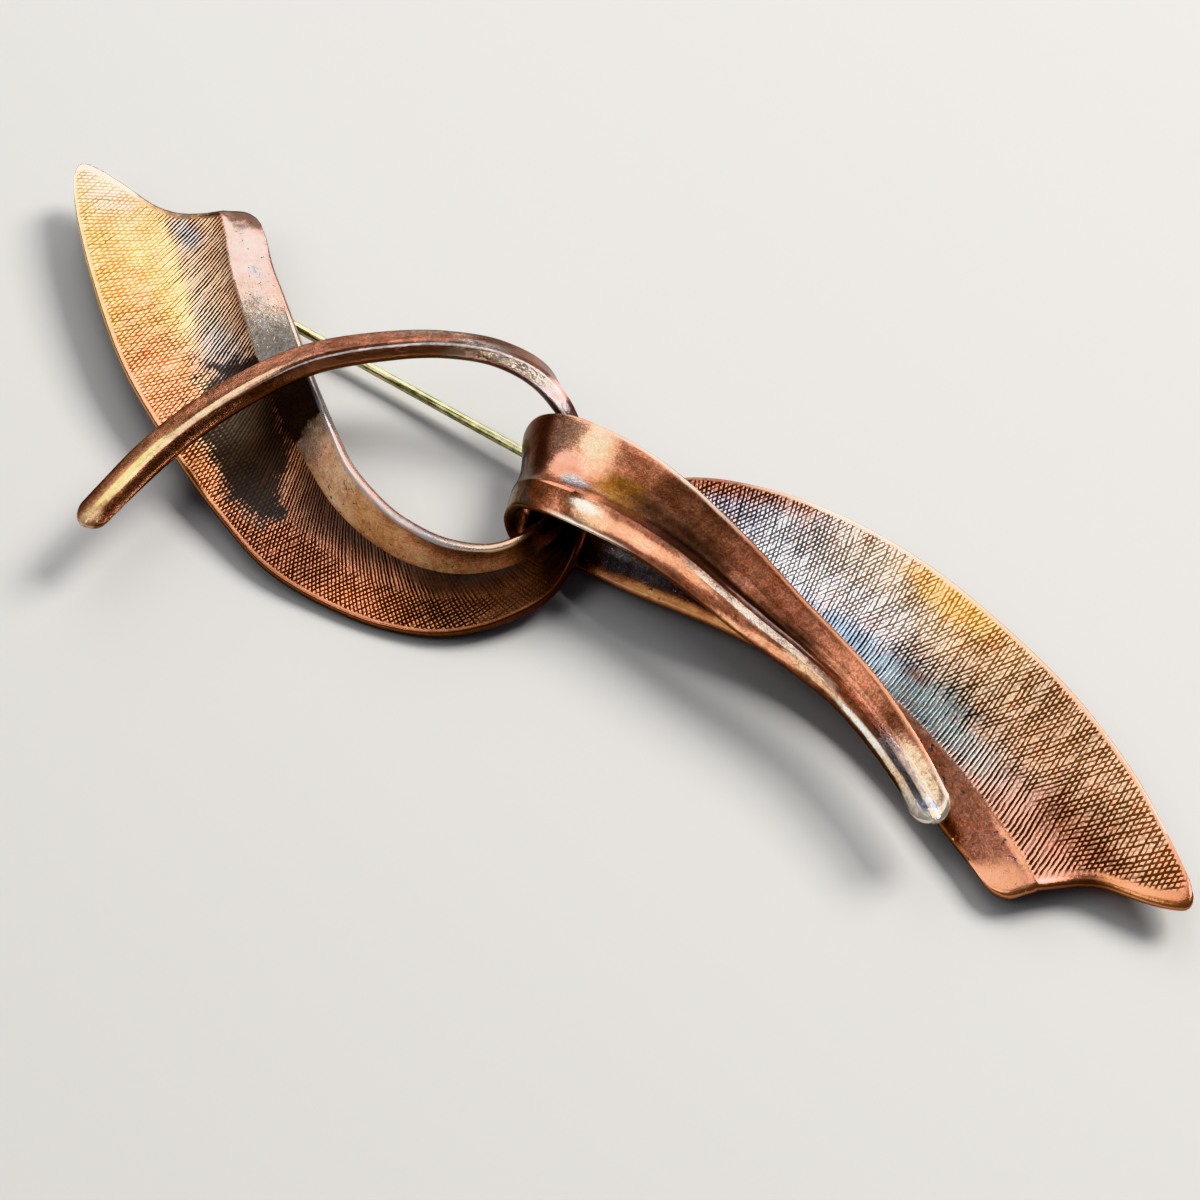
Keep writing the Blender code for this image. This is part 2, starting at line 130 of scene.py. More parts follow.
LEFT_ROWS = (
    (-0.387, 0.032, 0.42, 200, 3, 1.07, 0.06, 0.9, 2),
    (-0.362, 0.016, 0.41, 206, 3, 1.07, 0.07, 0.88, 4),
    (-0.335, -0.005, 0.4, 213, 3, 0.99, 0.08, 0.86, 8),
    (-0.302, -0.027, 0.39, 221, 3, 0.92, 0.08, 0.88, 14),
    (-0.255, -0.055, 0.37, 233, 2, 0.84, 0.08, 0.88, 22),
    (-0.2, -0.084, 0.33, 244, 0, 0.725, 0.08, 0.87, 34),
    (-0.153, -0.104, 0.29, 255, -4, 0.645, 0.08, 0.89, 46),
    (-0.111, -0.118, 0.26, 267, -8, 0.58, 0.08, 0.93, 56),
    (-0.075, -0.122, 0.24, 280, -12, 0.5, 0.08, 0.98, 62),
    (-0.043, -0.119, 0.24, 293, -14, 0.45, 0.08, 0.92, 66),
    (-0.012, -0.106, 0.25, 306, -12, 0.41, 0.07, 0.7, 68),
    (0.009, -0.086, 0.27, 321, -6, 0.36, 0.05, 0.51, 66),
    (0.021, -0.062, 0.3, 335, 4, 0.31, 0.02, 0.47, 62),
    (0.026, -0.04, 0.37, 348, 25, 0.2, 0, 0.42, 50),
    (0.02, -0.017, 0.45, 355, 50, 0.13, 0, 0.38, 45),
    (0.006, 0.005, 0.54, 330, 76, 0.11, 0, 0.38, 45),
    (-0.015, 0.025, 0.63, 292, 45, 0.1, 0, 0.42, 50),
    (-0.037, 0.036, 0.75, 284, 12, 0.1, 0, 0.4, 54),
    (-0.062, 0.04, 0.86, 280, -14, 0.095, 0, 0.37, 54),
    (-0.092, 0.032, 0.95, 290, -28, 0.085, 0, 0.32, 52),
    (-0.125, 0.012, 0.985, 307, -34, 0.08, 0, 0.32, 50),
    (-0.16, -0.022, 0.98, 317, -34, 0.08, 0, 0.41, 50),
    (-0.19, -0.064, 0.95, 327, -34, 0.08, 0, 0.48, 50),
    (-0.206, -0.11, 0.89, 342, -34, 0.08, 0, 0.5, 50),
    (-0.214, -0.152, 0.82, 352, -34, 0.08, 0, 0.5, 50),
    (-0.216, -0.19, 0.76, 360, -34, 0.08, 0, 0.46, 50),
    (-0.214, -0.224, 0.7, 366, -34, 0.08, 0, 0.43, 50),
    (-0.212, -0.256, 0.63, 370, -34, 0.08, 0, 0.4, 50),
)

RIGHT_ROWS = (
    (0.436, -0.059, 0.27, 34, 3, 0.84, 0.05, 0.8, -12),
    (0.408, -0.043, 0.28, 44, 4, 0.82, 0.06, 0.86, -12),
    (0.37, -0.027, 0.3, 54, 5, 0.83, 0.06, 0.86, -12),
    (0.327, -0.013, 0.32, 62, 6, 0.83, 0.07, 0.8, -12),
    (0.275, -0.002, 0.34, 71, 6, 0.82, 0.07, 0.7, -11),
    (0.22, 0, 0.36, 82, 6, 0.84, 0.07, 0.61, -9),
    (0.17, -0.005, 0.36, 90, 5.5, 0.85, 0.06, 0.55, -8),
    (0.122, -0.013, 0.34, 96, 4, 0.825, 0.05, 0.56, -9),
    (0.082, -0.018, 0.31, 103, 6, 0.66, 0.04, 0.62, -11),
    (0.052, -0.02, 0.27, 109, 7, 0.43, 0.02, 0.66, -12),
    (0.028, -0.023, 0.2, 113, 3, 0.28, 0, 0.63, -12),
    (0.007, -0.031, 0.12, 118, 0, 0.28, -0.03, 0.56, -12),
    (-0.01, -0.037, 0.2, 122, 0, 0.37, -0.05, 0.54, -10),
    (-0.017, -0.038, 0.42, 123, 0, 0.455, -0.06, 0.53, -6),
    (-0.012, -0.037, 0.66, 121, 0, 0.52, -0.06, 0.53, 0),
    (0.005, -0.036, 0.84, 116, 2, 0.535, -0.08, 0.54, 8),
    (0.032, -0.032, 0.92, 108, 4, 0.5, -0.12, 0.52, 18),
    (0.062, -0.028, 0.93, 100, 5, 0.465, -0.15, 0.48, 28),
    (0.09, -0.026, 0.92, 96, 5, 0.425, -0.17, 0.44, 32),
    (0.12, -0.026, 0.9, 92, 5, 0.38, -0.19, 0.42, 34),
    (0.155, -0.029, 0.87, 89, 5, 0.345, -0.2, 0.38, 36),
    (0.19, -0.032, 0.83, 84, 5, 0.295, -0.2, 0.34, 36),
    (0.226, -0.034, 0.79, 79, 5, 0.25, -0.2, 0.29, 36),
    (0.263, -0.038, 0.75, 73, 5, 0.21, -0.2, 0.24, 36),
    (0.303, -0.049, 0.71, 66, 5, 0.175, -0.2, 0.22, 36),
    (0.334, -0.061, 0.67, 61, 5, 0.155, -0.2, 0.22, 36),
    (0.361, -0.074, 0.63, 58, 5, 0.14, -0.2, 0.26, 36),
)

# Engraving: direction of the two families of lines at each row, in degrees from the crease.
FINE_SPACING = 0.268
CROSS_SPACING = 0.300
LEFT_FINE = (40, 40, 41, 43, 46, 50, 53, 53, 55, 58, 63, 66, 70)
LEFT_CROSS = (70, 72, 72, 70, 77, 82, 88, 103, 116, 129, 141, 150, 158)
RIGHT_FINE = (46, 50, 56, 62, 70, 74, 73, 73, 74, 75)
RIGHT_CROSS = (84, 87, 90, 96, 101, 109, 115, 120, 124, 128)

# Colours of the aged copper, also used to paint highlights, reflections and shade onto it
PALETTE = {
    "copper": (0.33, 0.145, 0.085), "bright": (0.74, 0.36, 0.2), "orange": (0.9, 0.38, 0.16),
    "coral": (1, 0.5, 0.3), "rose": (0.5, 0.27, 0.19), "ash": (0.27, 0.225, 0.205),
    "pearl": (0.62, 0.54, 0.45), "peach": (0.95, 0.64, 0.42), "cream": (1, 0.88, 0.7),
    "gold": (0.92, 0.56, 0.2), "yellow": (1, 0.76, 0.3), "amber": (0.4, 0.27, 0.18),
    "tan": (0.6, 0.38, 0.23), "sand": (0.46, 0.33, 0.225), "red": (0.19, 0.068, 0.042),
    "brown": (0.14, 0.062, 0.042), "umber": (0.06, 0.033, 0.024), "soot": (0.016, 0.01, 0.008),
    "slate": (0.13, 0.135, 0.145), "teal": (0.038, 0.062, 0.07), "blue": (0.06, 0.103, 0.145),
    "steel": (0.2, 0.235, 0.29), "silver": (0.5, 0.5, 0.51), "olive": (0.095, 0.046, 0.016),
    "moss": (0.23, 0.19, 0.145),
}

# A place is a row of the ribbon's table and a position across, from -1 at the flange's rim over 0 at
# the crease to 1 at the blade's rim. A patch is a place, its reach both ways, a colour and an amount.
# "black" isn't a colour but a near-black cover over the engraving: patina in the hollows, and painted
# shadow where a loop or a tail shades the sheet below it. Many patches are painted light over the copper's
# own tones: highlights, sky reflections and shade. A stop along a rim is a row, and along an end a
# position across, with a colour and an amount. Spots are patches without a colour; a 1 at the end puts
# one on the face.
LEFT_LOOK = {
    "blade": ("copper", (
        # Gold, cream, yellow and bright on the outer blade: the copper's gold tone with a painted highlight
        # of the bright sky in it.
        (1.5, 0.75, 3, 0.5, "gold", 1), (0.3, 0.86, 1, 0.3, "cream", 0.8),
        (4.4, 0.7, 1.2, 0.5, "bright", 0.8), (1.8, 0.56, 0.9, 0.22, "yellow", 0.9),
        (2.9, 0.42, 0.8, 0.16, "yellow", 0.9), (1.7, 0.97, 1.3, 0.12, "yellow", 0.6),
        (2.2, 0.08, 2.2, 0.1, "amber", 0.9), (2.4, 0.26, 1.3, 0.12, "moss", 0.8),
        (3.3, 0.27, 0.9, 0.13, "moss", 0.85), (3.9, 0.28, 0.6, 0.2, "slate", 0.7),
        (1.15, 0.27, 0.55, 0.12, "slate", 0.95), (6.6, 0.8, 1, 0.45, "brown", 0.9),
        (7.2, 0.6, 1, 0.8, "brown", 0.55), (8.6, 0.38, 0.9, 0.2, "copper", 0.6),
        # Black near the crease here: patina with the painted shadow that the tail casts on the blade.
        (5.2, 0.36, 1, 0.38, "black", 1), (4.8, 0.06, 1, 0.3, "black", 1), (6, 0.34, 0.6, 0.5, "black", 1),
        (6.8, 0.14, 0.8, 0.28, "umber", 0.9), (8.4, 0.02, 2.6, 0.22, "umber", 0.95),
        (10.4, 0.5, 1.2, 1.4, "umber", 0.9), (10.6, 0.12, 1.6, 0.26, "soot", 0.9),
        # Soot and black toward the narrow end: painted shade under the other ribbon's loop. Umber from row
        # 15 on covers the tail's underside: painted shade.
        (12, 0.5, 1.5, 1.5, "soot", 0.98), (14, 0.5, 1.6, 1.5, "black", 0.95), (20, 0.5, 5, 2, "umber", 1),
    )),
    "flange": ("rose", (
        # Pearl on the flange: pale copper with a painted reflection of the bright sky. Umber at row 0: the
        # flange's end turned away from the light, painted shade.
        (1.7, -0.5, 1.3, 1, "ash", 1), (3.4, -0.25, 0.6, 0.5, "pearl", 0.6),
        (4, -0.5, 0.5, 1.2, "pearl", 0.85), (0, -0.5, 0.4, 1.4, "umber", 1),
        (2.3, -0.55, 0.16, 0.18, "slate", 0.8), (3.1, -0.45, 0.22, 0.22, "slate", 0.6),
        (7.1, -0.4, 1.2, 0.8, "coral", 1), (8.6, -0.4, 1.2, 0.6, "bright", 0.9),
        (8.2, -0.55, 0.9, 0.4, "orange", 0.5), (10.4, -0.2, 1.4, 0.3, "bright", 0.8),
        (10.4, -0.9, 1.4, 0.3, "umber", 0.9), (5.75, -0.5, 0.35, 1.2, "moss", 0.9),
        # Black across the flange: painted shadow of the tail. Soot and black from row 12: painted shade
        # under the other ribbon's loop.
        (5.1, -0.5, 0.52, 1.3, "black", 1), (8, -0.03, 1.5, 0.06, "copper", 0.6),
        (12.4, -0.5, 1.2, 1.5, "soot", 0.9), (14.5, -0.5, 1.5, 1.5, "black", 0.95),
        (20, -0.5, 5, 2, "umber", 1),
    )),
    "back": ("brown", (
        (5, 0.5, 4, 0.6, "copper", 0.5), (8, 0.5, 2, 0.7, "umber", 0.6), (21, -0.6, 4, 0.6, "copper", 0.45),
        # Along the tail: silver, peach, yellow and bright at the crest are a painted highlight on the
        # rolled rim; silver and pearl on rows 17 to 19 are its lit side, and soot near the tip its shaded
        # side, painted over the grit and patina.
        (20, -0.8, 0.9, 0.35, "moss", 0.6), (25.3, -0.55, 1.9, 0.35, "bright", 0.45),
        (20.2, 0.13, 2.6, 0.09, "silver", 1), (19.3, -0.12, 0.5, 0.2, "ash", 0.9),
        (24.3, -0.04, 2.1, 0.08, "peach", 0.8), (25.9, -0.14, 1.6, 0.15, "yellow", 1),
        (17.4, 0.6, 1.2, 0.45, "silver", 0.55), (18.5, 0.52, 0.8, 0.32, "pearl", 0.8),
        (19.6, 0.65, 0.6, 0.5, "moss", 0.7), (21.9, 0.6, 2, 0.42, "umber", 0.9),
        (25, 0.5, 1.8, 0.36, "soot", 0.9), (26.9, 0, 0.4, 0.5, "tan", 0.8),
        (15, 0.5, 1.6, 1.5, "umber", 0.9),
    )),
    # Rim stops: burnished copper, brightened to cream, gold, peach and silver as a painted highlight where
    # the rim catches the light.
    "outer_rim": (
        (0, "cream", 0.95), (3, "gold", 0.95), (5, "bright", 0.8), (7, "copper", 0.5), (12, "brown", 0.3),
        (16, "silver", 0.3), (20, "copper", 0.2), (27, "copper", 0.3),
    ),
    "inner_rim": (
        (0, "brown", 0.6), (4, "copper", 0.35), (5.5, "silver", 0.8), (9.5, "silver", 0.9),
        (11.5, "peach", 0.9), (13, "copper", 0.4), (20, "brown", 0.3), (27, "brown", 0.3),
    ),
    # The free end's bevel: cream where it faces the light, umber where it turns away from it, painted
    # highlight and shade over burnished copper.
    "free_end": (
        (-1, "umber", 0.95), (0.35, "umber", 0.9), (0.56, "brown", 0.8), (0.62, "cream", 0.95),
        (1, "cream", 0.95),
    ),
    "tip_end": ((-1, "copper", 0.3), (1, "copper", 0.3)),
    "rim_width": 0.17,
    "hatch_end": 13.5,
    "depth": 0.95,
    "cross": (0.25, 0.6, 1),
    "grit": ((19.6, 0.6, 2.6, 0.55, 0.8), (25, 0.6, 2, 0.5, 0.35)),
    "dull": (
        (7.9, -0.5, 2.3, 0.9, 1, 1), (10.4, -0.2, 1.2, 0.4, 0.7, 1), (25.9, -0.2, 1.5, 0.35, 0.6, 0),
        (20.2, 0.13, 2.8, 0.1, 0.5, 0), (23.8, 0, 1.5, 0.12, 0.5, 0),
    ),
}

RIGHT_LOOK = {
    "blade": ("copper", (
        (2, 0.75, 1.5, 0.6, "amber", 0.9), (3.9, 0.75, 0.9, 0.45, "sand", 1),
        # Pearl, steel and silver toward the loop: painted reflection of the sky over the copper's own
        # toning.
        (5.3, 0.76, 1, 0.34, "pearl", 0.9), (4.2, 0.86, 0.6, 0.18, "tan", 0.9),
        (6.5, 0.56, 0.6, 0.24, "steel", 0.95), (7.2, 0.78, 0.6, 0.2, "steel", 0.8),
        (4.5, 0.9, 0.5, 0.12, "gold", 0.8), (5.1, 0.18, 1.1, 0.3, "blue", 0.95),
        (6.2, 0.38, 0.8, 0.16, "blue", 0.7), (3.6, 0.14, 0.9, 0.32, "teal", 0.95),
        (4.06, 0.28, 0.14, 0.05, "umber", 0.8), (0.5, 0.2, 1.2, 0.36, "umber", 0.85),
        (2.3, 0.14, 0.9, 0.3, "teal", 0.75), (1.3, 0.3, 0.9, 0.36, "brown", 0.8),
        (1.2, 0.06, 1.3, 0.22, "umber", 0.8), (5.2, 0.48, 0.8, 0.14, "silver", 0.7),
        (6.2, 0.62, 0.7, 0.34, "silver", 0.6), (7.7, 0.97, 1.1, 0.12, "brown", 0.9),
        # Black at the narrow end: patina with the painted shadow of the tail above it. Umber and brown from
        # row 17 on cover the tail's underside: painted shade.
        (10.6, 0.5, 2.3, 1.5, "black", 0.98), (17, 0.5, 5, 2, "umber", 1), (24, 0.5, 5, 2, "brown", 1),
    )),
    "flange": ("brown", (
        (0.35, -0.7, 0.35, 0.4, "copper", 0.7), (3.2, -0.5, 1.3, 1.2, "umber", 0.6),
        # Bright and silver along the crease: painted highlight on the ridge. Orange at the free edge:
        # painted light where the edge lies outside the tail's shadow.
        (0.9, -0.04, 0.7, 0.06, "bright", 0.4), (8.3, -0.45, 1.7, 0.8, "slate", 1),
        (8.6, -0.12, 0.6, 0.16, "silver", 0.8), (7.2, -0.98, 1.7, 0.22, "orange", 1),
        # Black toward the loop: painted shadow that the tail casts on the flange, with patina.
        (12, -0.5, 2.2, 1.5, "black", 0.98), (17, -0.5, 5, 2, "umber", 1),
    )),
    "back": ("brown", (
        (4, 0.4, 3.5, 0.6, "copper", 0.5), (16.8, 0.74, 0.8, 0.36, "copper", 0.7),
        (14.9, 0.1, 0.6, 0.35, "umber", 0.8), (13.3, 0.2, 0.9, 0.4, "black", 0.9),
        (14.3, 0.6, 0.5, 0.8, "umber", 0.5), (14, -0.6, 1, 0.5, "moss", 0.8),
        (15.2, 0.75, 0.42, 0.5, "rose", 0.9), (15.4, -0.5, 0.6, 0.8, "copper", 0.9),
        # Coral and peach on the loop: painted highlight where the bend catches the light.
        (15.95, 0.72, 0.46, 0.34, "coral", 1), (15.92, 0.8, 0.3, 0.18, "peach", 0.9),
        (15.8, 0.17, 0.32, 0.12, "slate", 0.9), (16.9, 0.34, 0.9, 0.26, "olive", 1),
        # Tan, cream, bright and peach along the lip, rows 16 to 25: painted highlights on the rolled lip.
        (16.6, -0.5, 0.5, 0.45, "tan", 0.95), (16.4, -0.28, 0.4, 0.18, "cream", 1),
        (17.7, -0.42, 0.95, 0.26, "bright", 0.8), (19, -0.32, 0.9, 0.22, "bright", 0.7),
        (18.2, -0.92, 1.8, 0.22, "umber", 0.9), (20.6, -0.92, 0.5, 0.2, "bright", 0.7),
        (21.5, -0.62, 0.6, 0.22, "bright", 0.8), (22.5, -0.35, 0.7, 0.26, "tan", 0.9),
        (24, -0.48, 0.9, 0.26, "cream", 1), (24, -0.96, 1.8, 0.22, "umber", 0.95),
        # Umber and soot in the trough: patina in the valley, widened into painted shade.
        (18.7, 0.6, 1.3, 0.6, "umber", 0.85), (20.2, 0.42, 2.6, 0.2, "umber", 0.8),
        (20, 0.33, 2.6, 0.27, "soot", 1), (20.6, 0.75, 1, 0.4, "brown", 0.9),
        (22.8, 0.7, 0.8, 0.36, "copper", 0.6), (24.9, 0.62, 0.7, 0.3, "peach", 0.9),
        # Pearl and silver lines at the crease: painted highlight.
        (21, -0.06, 1.6, 0.07, "pearl", 0.8), (21.2, 0.08, 1.2, 0.06, "silver", 1),
        (25, -0.45, 0.8, 0.3, "peach", 0.9), (24.9, 0.1, 1.1, 0.26, "slate", 0.95),
        (25.75, 0.05, 0.35, 0.55, "steel", 1),
    )),
    # Rim stops: burnished copper, brightened to cream and peach as a painted highlight where the rim
    # catches the light.
    "outer_rim": (
        (0, "orange", 0.6), (1, "bright", 0.9), (4, "peach", 0.9), (6.3, "cream", 0.95),
        (6.9, "peach", 0.6), (7.4, "brown", 0.6), (9, "umber", 0.4), (13, "umber", 0.5),
        (15.5, "copper", 0.5), (17, "cream", 0.6), (20, "copper", 0.6), (24.5, "bright", 0.6),
        (25.5, "cream", 0.95), (26, "cream", 1),
    ),
    "inner_rim": (
        (0, "copper", 0.5), (5, "orange", 0.6), (9, "rose", 0.7), (11, "umber", 0.4), (13, "umber", 0.5),
        (15.3, "copper", 0.6), (16.2, "cream", 0.9), (18, "brown", 0.8), (25, "umber", 0.8),
        (26, "cream", 1),
    ),
    # The free end's bevel: bright on the flange side, a painted glint over burnished copper; the tail's tip
    # rim is cream, burnish with a painted highlight.
    "free_end": (
        (-1, "bright", 0.7), (0.1, "copper", 0.7), (0.4, "brown", 0.6), (0.6, "orange", 0.7),
        (1, "red", 0.8),
    ),
    "tip_end": ((-1, "cream", 0.7), (1, "cream", 0.7)),
    "rim_width": 0.17,
    "hatch_end": 9.3,
    "depth": 0.86,
    "cross": (0.1, 0.45, 0.95),
    "grit": ((24.5, 0.1, 1.6, 0.3, 0.5),),
    "dull": (
        (7.2, -0.98, 1.8, 0.3, 0.9, 1), (8, -0.35, 1.2, 0.45, 0.4, 1), (24.2, -0.44, 1.2, 0.3, 0.5, 0),
        (15.94, 0.78, 0.34, 0.22, 0.8, 0),
    ),
}


def plan(x, y):
    """Metres from the origin for a place that is given in shares of the length."""
    return (x - MIDDLE[0]) * LENGTH, (y - MIDDLE[1]) * LENGTH


def direction(heading, pitch):
    """Unit vectors from headings and pitches in degrees."""
    around = np.radians(heading)
    above = np.radians(pitch)
    flat = np.cos(above)
    return np.stack([np.cos(around) * flat, np.sin(around) * flat, np.sin(above)], axis=-1)


def unit(vectors):
    """Vectors scaled to length one."""
    return vectors / np.linalg.norm(vectors, axis=-1, keepdims=True)


def smooth(knots, values, at):
    """Smooth curve through the rows' values, with slopes from the neighbours."""
    values = np.asarray(values, float)
    rows = values.reshape(len(knots), -1)
    slopes = np.gradient(rows, knots, axis=0)
    at = np.clip(np.asarray(at, float), knots[0], knots[-1])
    low = np.clip(np.searchsorted(knots, at, side="right") - 1, 0, len(knots) - 2)
    span = (knots[low + 1] - knots[low])[..., None]
    u = (at[..., None] - knots[low][..., None]) / span
    start = (1 + 2 * u) * (1 - u) ** 2 * rows[low] + u * (1 - u) ** 2 * span * slopes[low]
    end = u * u * (3 - 2 * u) * rows[low + 1] + u * u * (u - 1) * span * slopes[low + 1]
    return (start + end).reshape(at.shape + values.shape[1:])


class Ribbon:
    """A folded sheet that is swept through the rows of a table."""

    def __init__(self, rows, cut):
        column = {name: np.array([row[i] for row in rows], float) for i, name in enumerate(COLUMNS)}
        x, y = plan(column["x"], column["y"])
        self.points = np.stack([x, y, column["lift"] * RISE], axis=1)
        steps = np.linalg.norm(np.diff(self.points, axis=0), axis=1)
        self.knots = np.concatenate([[0.0], np.cumsum(steps)])
        self.across = direction(column["heading"], column["pitch"])
        widths = column["blade"] * BLADE_WIDTH, column["flange"] * FLANGE_WIDTH
        self.shape = np.stack([widths[0], column["sag"], widths[1], np.radians(column["fold"])], axis=1)
        self.cut = cut
        self.total = self.knots[-1]

    def trims(self, side):
        """How much is cut away at the free end and at the tail's tip."""
        blade, _, flange, _ = self.shape[0]
        free = self.cut * blade * smooth(END_SIDES, END_SHARES, side)
        width = np.where(side > 0, blade, flange)
        into = np.clip(1 - (1 - np.abs(side)) * width / CORNER_RADIUS, 0.0, 1.0)
        free = free + CORNER_RADIUS * (1 - np.sqrt(1 - into * into))
        blade, _, flange, _ = self.shape[-1]
        middle = (blade - flange) / 2
        half = (blade + flange) / 2
        place = np.where(side > 0, side * blade, side * flange)
        out = np.clip((place - middle) / half, -1.0, 1.0)
        tip = half * (1 - np.sqrt(1 - 0.97 * out * out))
        return free, tip

    def along(self, start, side):
        """Path lengths of the points at a station, with the ends trimmed."""
        free, tip = self.trims(side)
        near = np.clip(1 - start / CUT_BLEND, 0.0, 1.0) ** 2
        far = np.clip(1 - (self.total - start) / CUT_BLEND, 0.0, 1.0) ** 2
        return start + free * near - tip * far

    def section(self, at, side):
        """Place of a point in its section's plane, across and along the normal."""
        blade, sag, flange, fold = np.moveaxis(smooth(self.knots, self.shape, at), -1, 0)
        wide = np.clip(side, 0.0, 1.0)
        narrow = np.clip(-side, 0.0, 1.0)
        hollow = wide * (1 - wide) ** 1.5 / HOLLOW_PEAK
        forward = blade * wide - flange * narrow * np.cos(fold)
        upward = -sag * blade * hollow + flange * narrow * np.sin(fold)
        return np.stack([forward, upward], axis=-1)

    def frames(self, at):
        """Crease point, across direction and face normal."""
        place = smooth(self.knots, self.points, at)
        ahead = smooth(self.knots, self.points, at + FIT) - smooth(self.knots, self.points, at - FIT)
        across = unit(smooth(self.knots, self.across, at))
        normal = unit(np.cross(across, unit(ahead)))
        return place, across, normal

    def surface(self, start, side, offset):
        """Points of the sheet at an offset from its middle, positive on the face."""
        start, side, offset = np.broadcast_arrays(
            np.asarray(start, float), np.asarray(side, float), np.asarray(offset, float)
        )
        at = self.along(start, side)
        here = self.section(at, side)
        small = 0.02
        toward_rim = unit(here - self.section(at, np.clip(side + small, -1, 1)) + [1e-12, 0])
        toward_edge = unit(self.section(at, np.clip(side - small, -1, 1)) - here + [1e-12, 0])
        toward_rim = np.where((side >= 1.0)[..., None], toward_edge, toward_rim)
        toward_edge = np.where((side <= -1.0)[..., None], toward_rim, toward_edge)
        first = np.stack([toward_rim[..., 1], -toward_rim[..., 0]], axis=-1)
        second = np.stack([toward_edge[..., 1], -toward_edge[..., 0]], axis=-1)
        mitre = unit(first + second)
        mitre = mitre / np.maximum(np.sum(mitre * first, axis=-1, keepdims=True), 0.5)
        flat = here + mitre * offset[..., None]
        place, across, normal = self.frames(at)
        return place + across * flat[..., :1] + normal * flat[..., 1:]

    def height_at(self, x, y):
        """Height of the blade's middle surface above a point of the plan."""
        start, side = np.meshgrid(np.linspace(0, self.total * 0.5, 400), np.linspace(-1, 1, 120))
        cloud = self.surface(start, side, 0.0).reshape(-1, 3)
        away = (cloud[:, 0] - x) ** 2 + (cloud[:, 1] - y) ** 2
        nearest = np.argsort(away)[:4]
        return float(cloud[nearest, 2].mean())

    def row_at(self, at):
        """Row number of a path length, with fractions between the rows."""
        return np.interp(at, self.knots, np.arange(len(self.knots)))


def stations_of(ribbon):
    """Path lengths of the sections, closer at both ends."""
    near = np.array([0.0, 0.04, 0.10, 0.18, 0.28, 0.40, 0.54]) / MM
    first = near[-1] + STATION_GAP
    last = ribbon.total - near[-1] - STATION_GAP
    inner = np.linspace(first, last, round(ribbon.total / STATION_STEP))
    return np.concatenate([near, inner, ribbon.total - near[::-1]])


def sides_of():
    """Positions across a section, closer at rims and crease."""
    u = np.linspace(0.0, 1.0, FACE_POINTS)
    blade = 1 - (u - 0.11 * np.sin(2 * np.pi * u) / 1.4)
    v = np.linspace(0.0, 1.0, FLANGE_POINTS)
    flange = -(v - 0.12 * np.sin(2 * np.pi * v) / 1.4)
    return np.concatenate([blade, flange[1:]])


def engraving(ribbon, at, across_mm, fine, cross):
    """Phases of the two families of engraved lines, in cycles."""
    steps = np.linspace(0.0, ribbon.knots[len(fine) - 1], 400)
    rows = np.arange(len(fine))
    phases = []
    for angles, spacing in ((fine, FINE_SPACING), (cross, CROSS_SPACING)):
        angle = np.radians(np.interp(ribbon.row_at(steps), rows, angles))
        lean = -np.cos(angle) / spacing
        middle = smooth(ribbon.knots, ribbon.shape, steps)[:, 0] * MM * 0.5
        pace = np.sin(angle) / spacing - np.gradient(lean, steps * MM) * middle
        total = np.concatenate([[0.0], np.cumsum((pace[1:] + pace[:-1]) / 2 * np.diff(steps) * MM)])
        phases.append(np.interp(at, steps, total) + np.interp(at, steps, lean) * across_mm)
    return phases


def wander(along, across, seed):
    """A slow, repeatable wave over the sheet, between minus one and one."""
    total = np.zeros_like(along)
    for k, (pace, lean) in enumerate(((0.55, 0.9), (1.3, -1.1), (0.8, 2.1), (2.4, 1.7), (3.7, -2.9))):
        total = total + np.sin(pace * along + lean * across + seed * (k + 1.3)) / (1.4 + 0.5 * k)
    return total / 2.2


def paint(base, patches, rows, side, along, across, soft=0.2):
    """Colours over the sheet, painted highlights and shade among them, and how far black patina and painted
    shadow fill the engraving.
    """
    color = np.ones(rows.shape + (3,)) * PALETTE[base]
    fill = np.zeros_like(rows)
    drift = wander(along, across, 0.7)
    shift = wander(along, across, 2.9)
    for row, place, long_reach, wide_reach, name, amount in patches:
        away = ((rows - row) / long_reach + 0.22 * drift) ** 2
        away = away + ((side - place) / wide_reach + 0.22 * shift) ** 2
        share = amount / (1 + np.exp((np.sqrt(away) - 1) / soft))
        if name == "black":
            fill = fill + (1 - fill) * share
        else:
            color = color + (np.array(PALETTE[name]) - color) * share[..., None]
            fill = fill * (1 - share)
    return color, fill


def along_rim(stops, rows):
    """Colour and amount of burnish and painted highlight along a rim or an end."""
    at = [stop[0] for stop in stops]
    colors = np.array([PALETTE[stop[1]] for stop in stops])
    color = np.stack([np.interp(rows, at, colors[:, k]) for k in range(3)], axis=-1)
    return color, np.interp(rows, at, [stop[2] for stop in stops])


def set_layer(mesh, name, values, kind="FLOAT_VECTOR", field="vector"):
    """An attribute on the points."""
    layer = mesh.attributes.new(name, kind, "POINT")
    layer.data.foreach_set(field, np.ascontiguousarray(values, np.float32).ravel())


def thinned(distance, reach):
    """The share of the thickness that is left near a rounded end."""
    inside = np.clip(distance / reach, 0.0, 1.0)
    return np.sqrt(1 - (1 - inside) ** 2) * (1 - END_THIN) + END_THIN


def turn_outward(mesh):
    """Turn a closed mesh's faces outward."""
    work = bmesh.new()
    work.from_mesh(mesh)
    bmesh.ops.recalc_face_normals(work, faces=work.faces)
    work.to_mesh(mesh)
    work.free()


def shade_smooth(mesh, degrees):
    """Shade smoothly, except at edges sharper than an angle."""
    for polygon in mesh.polygons:
        polygon.use_smooth = True
    mesh.set_sharp_from_angle(angle=math.radians(degrees))


def placed(name, data):
    """A named object in the scene."""
    item = bpy.data.objects.new(name, data)
    bpy.context.scene.collection.objects.link(item)
    return item


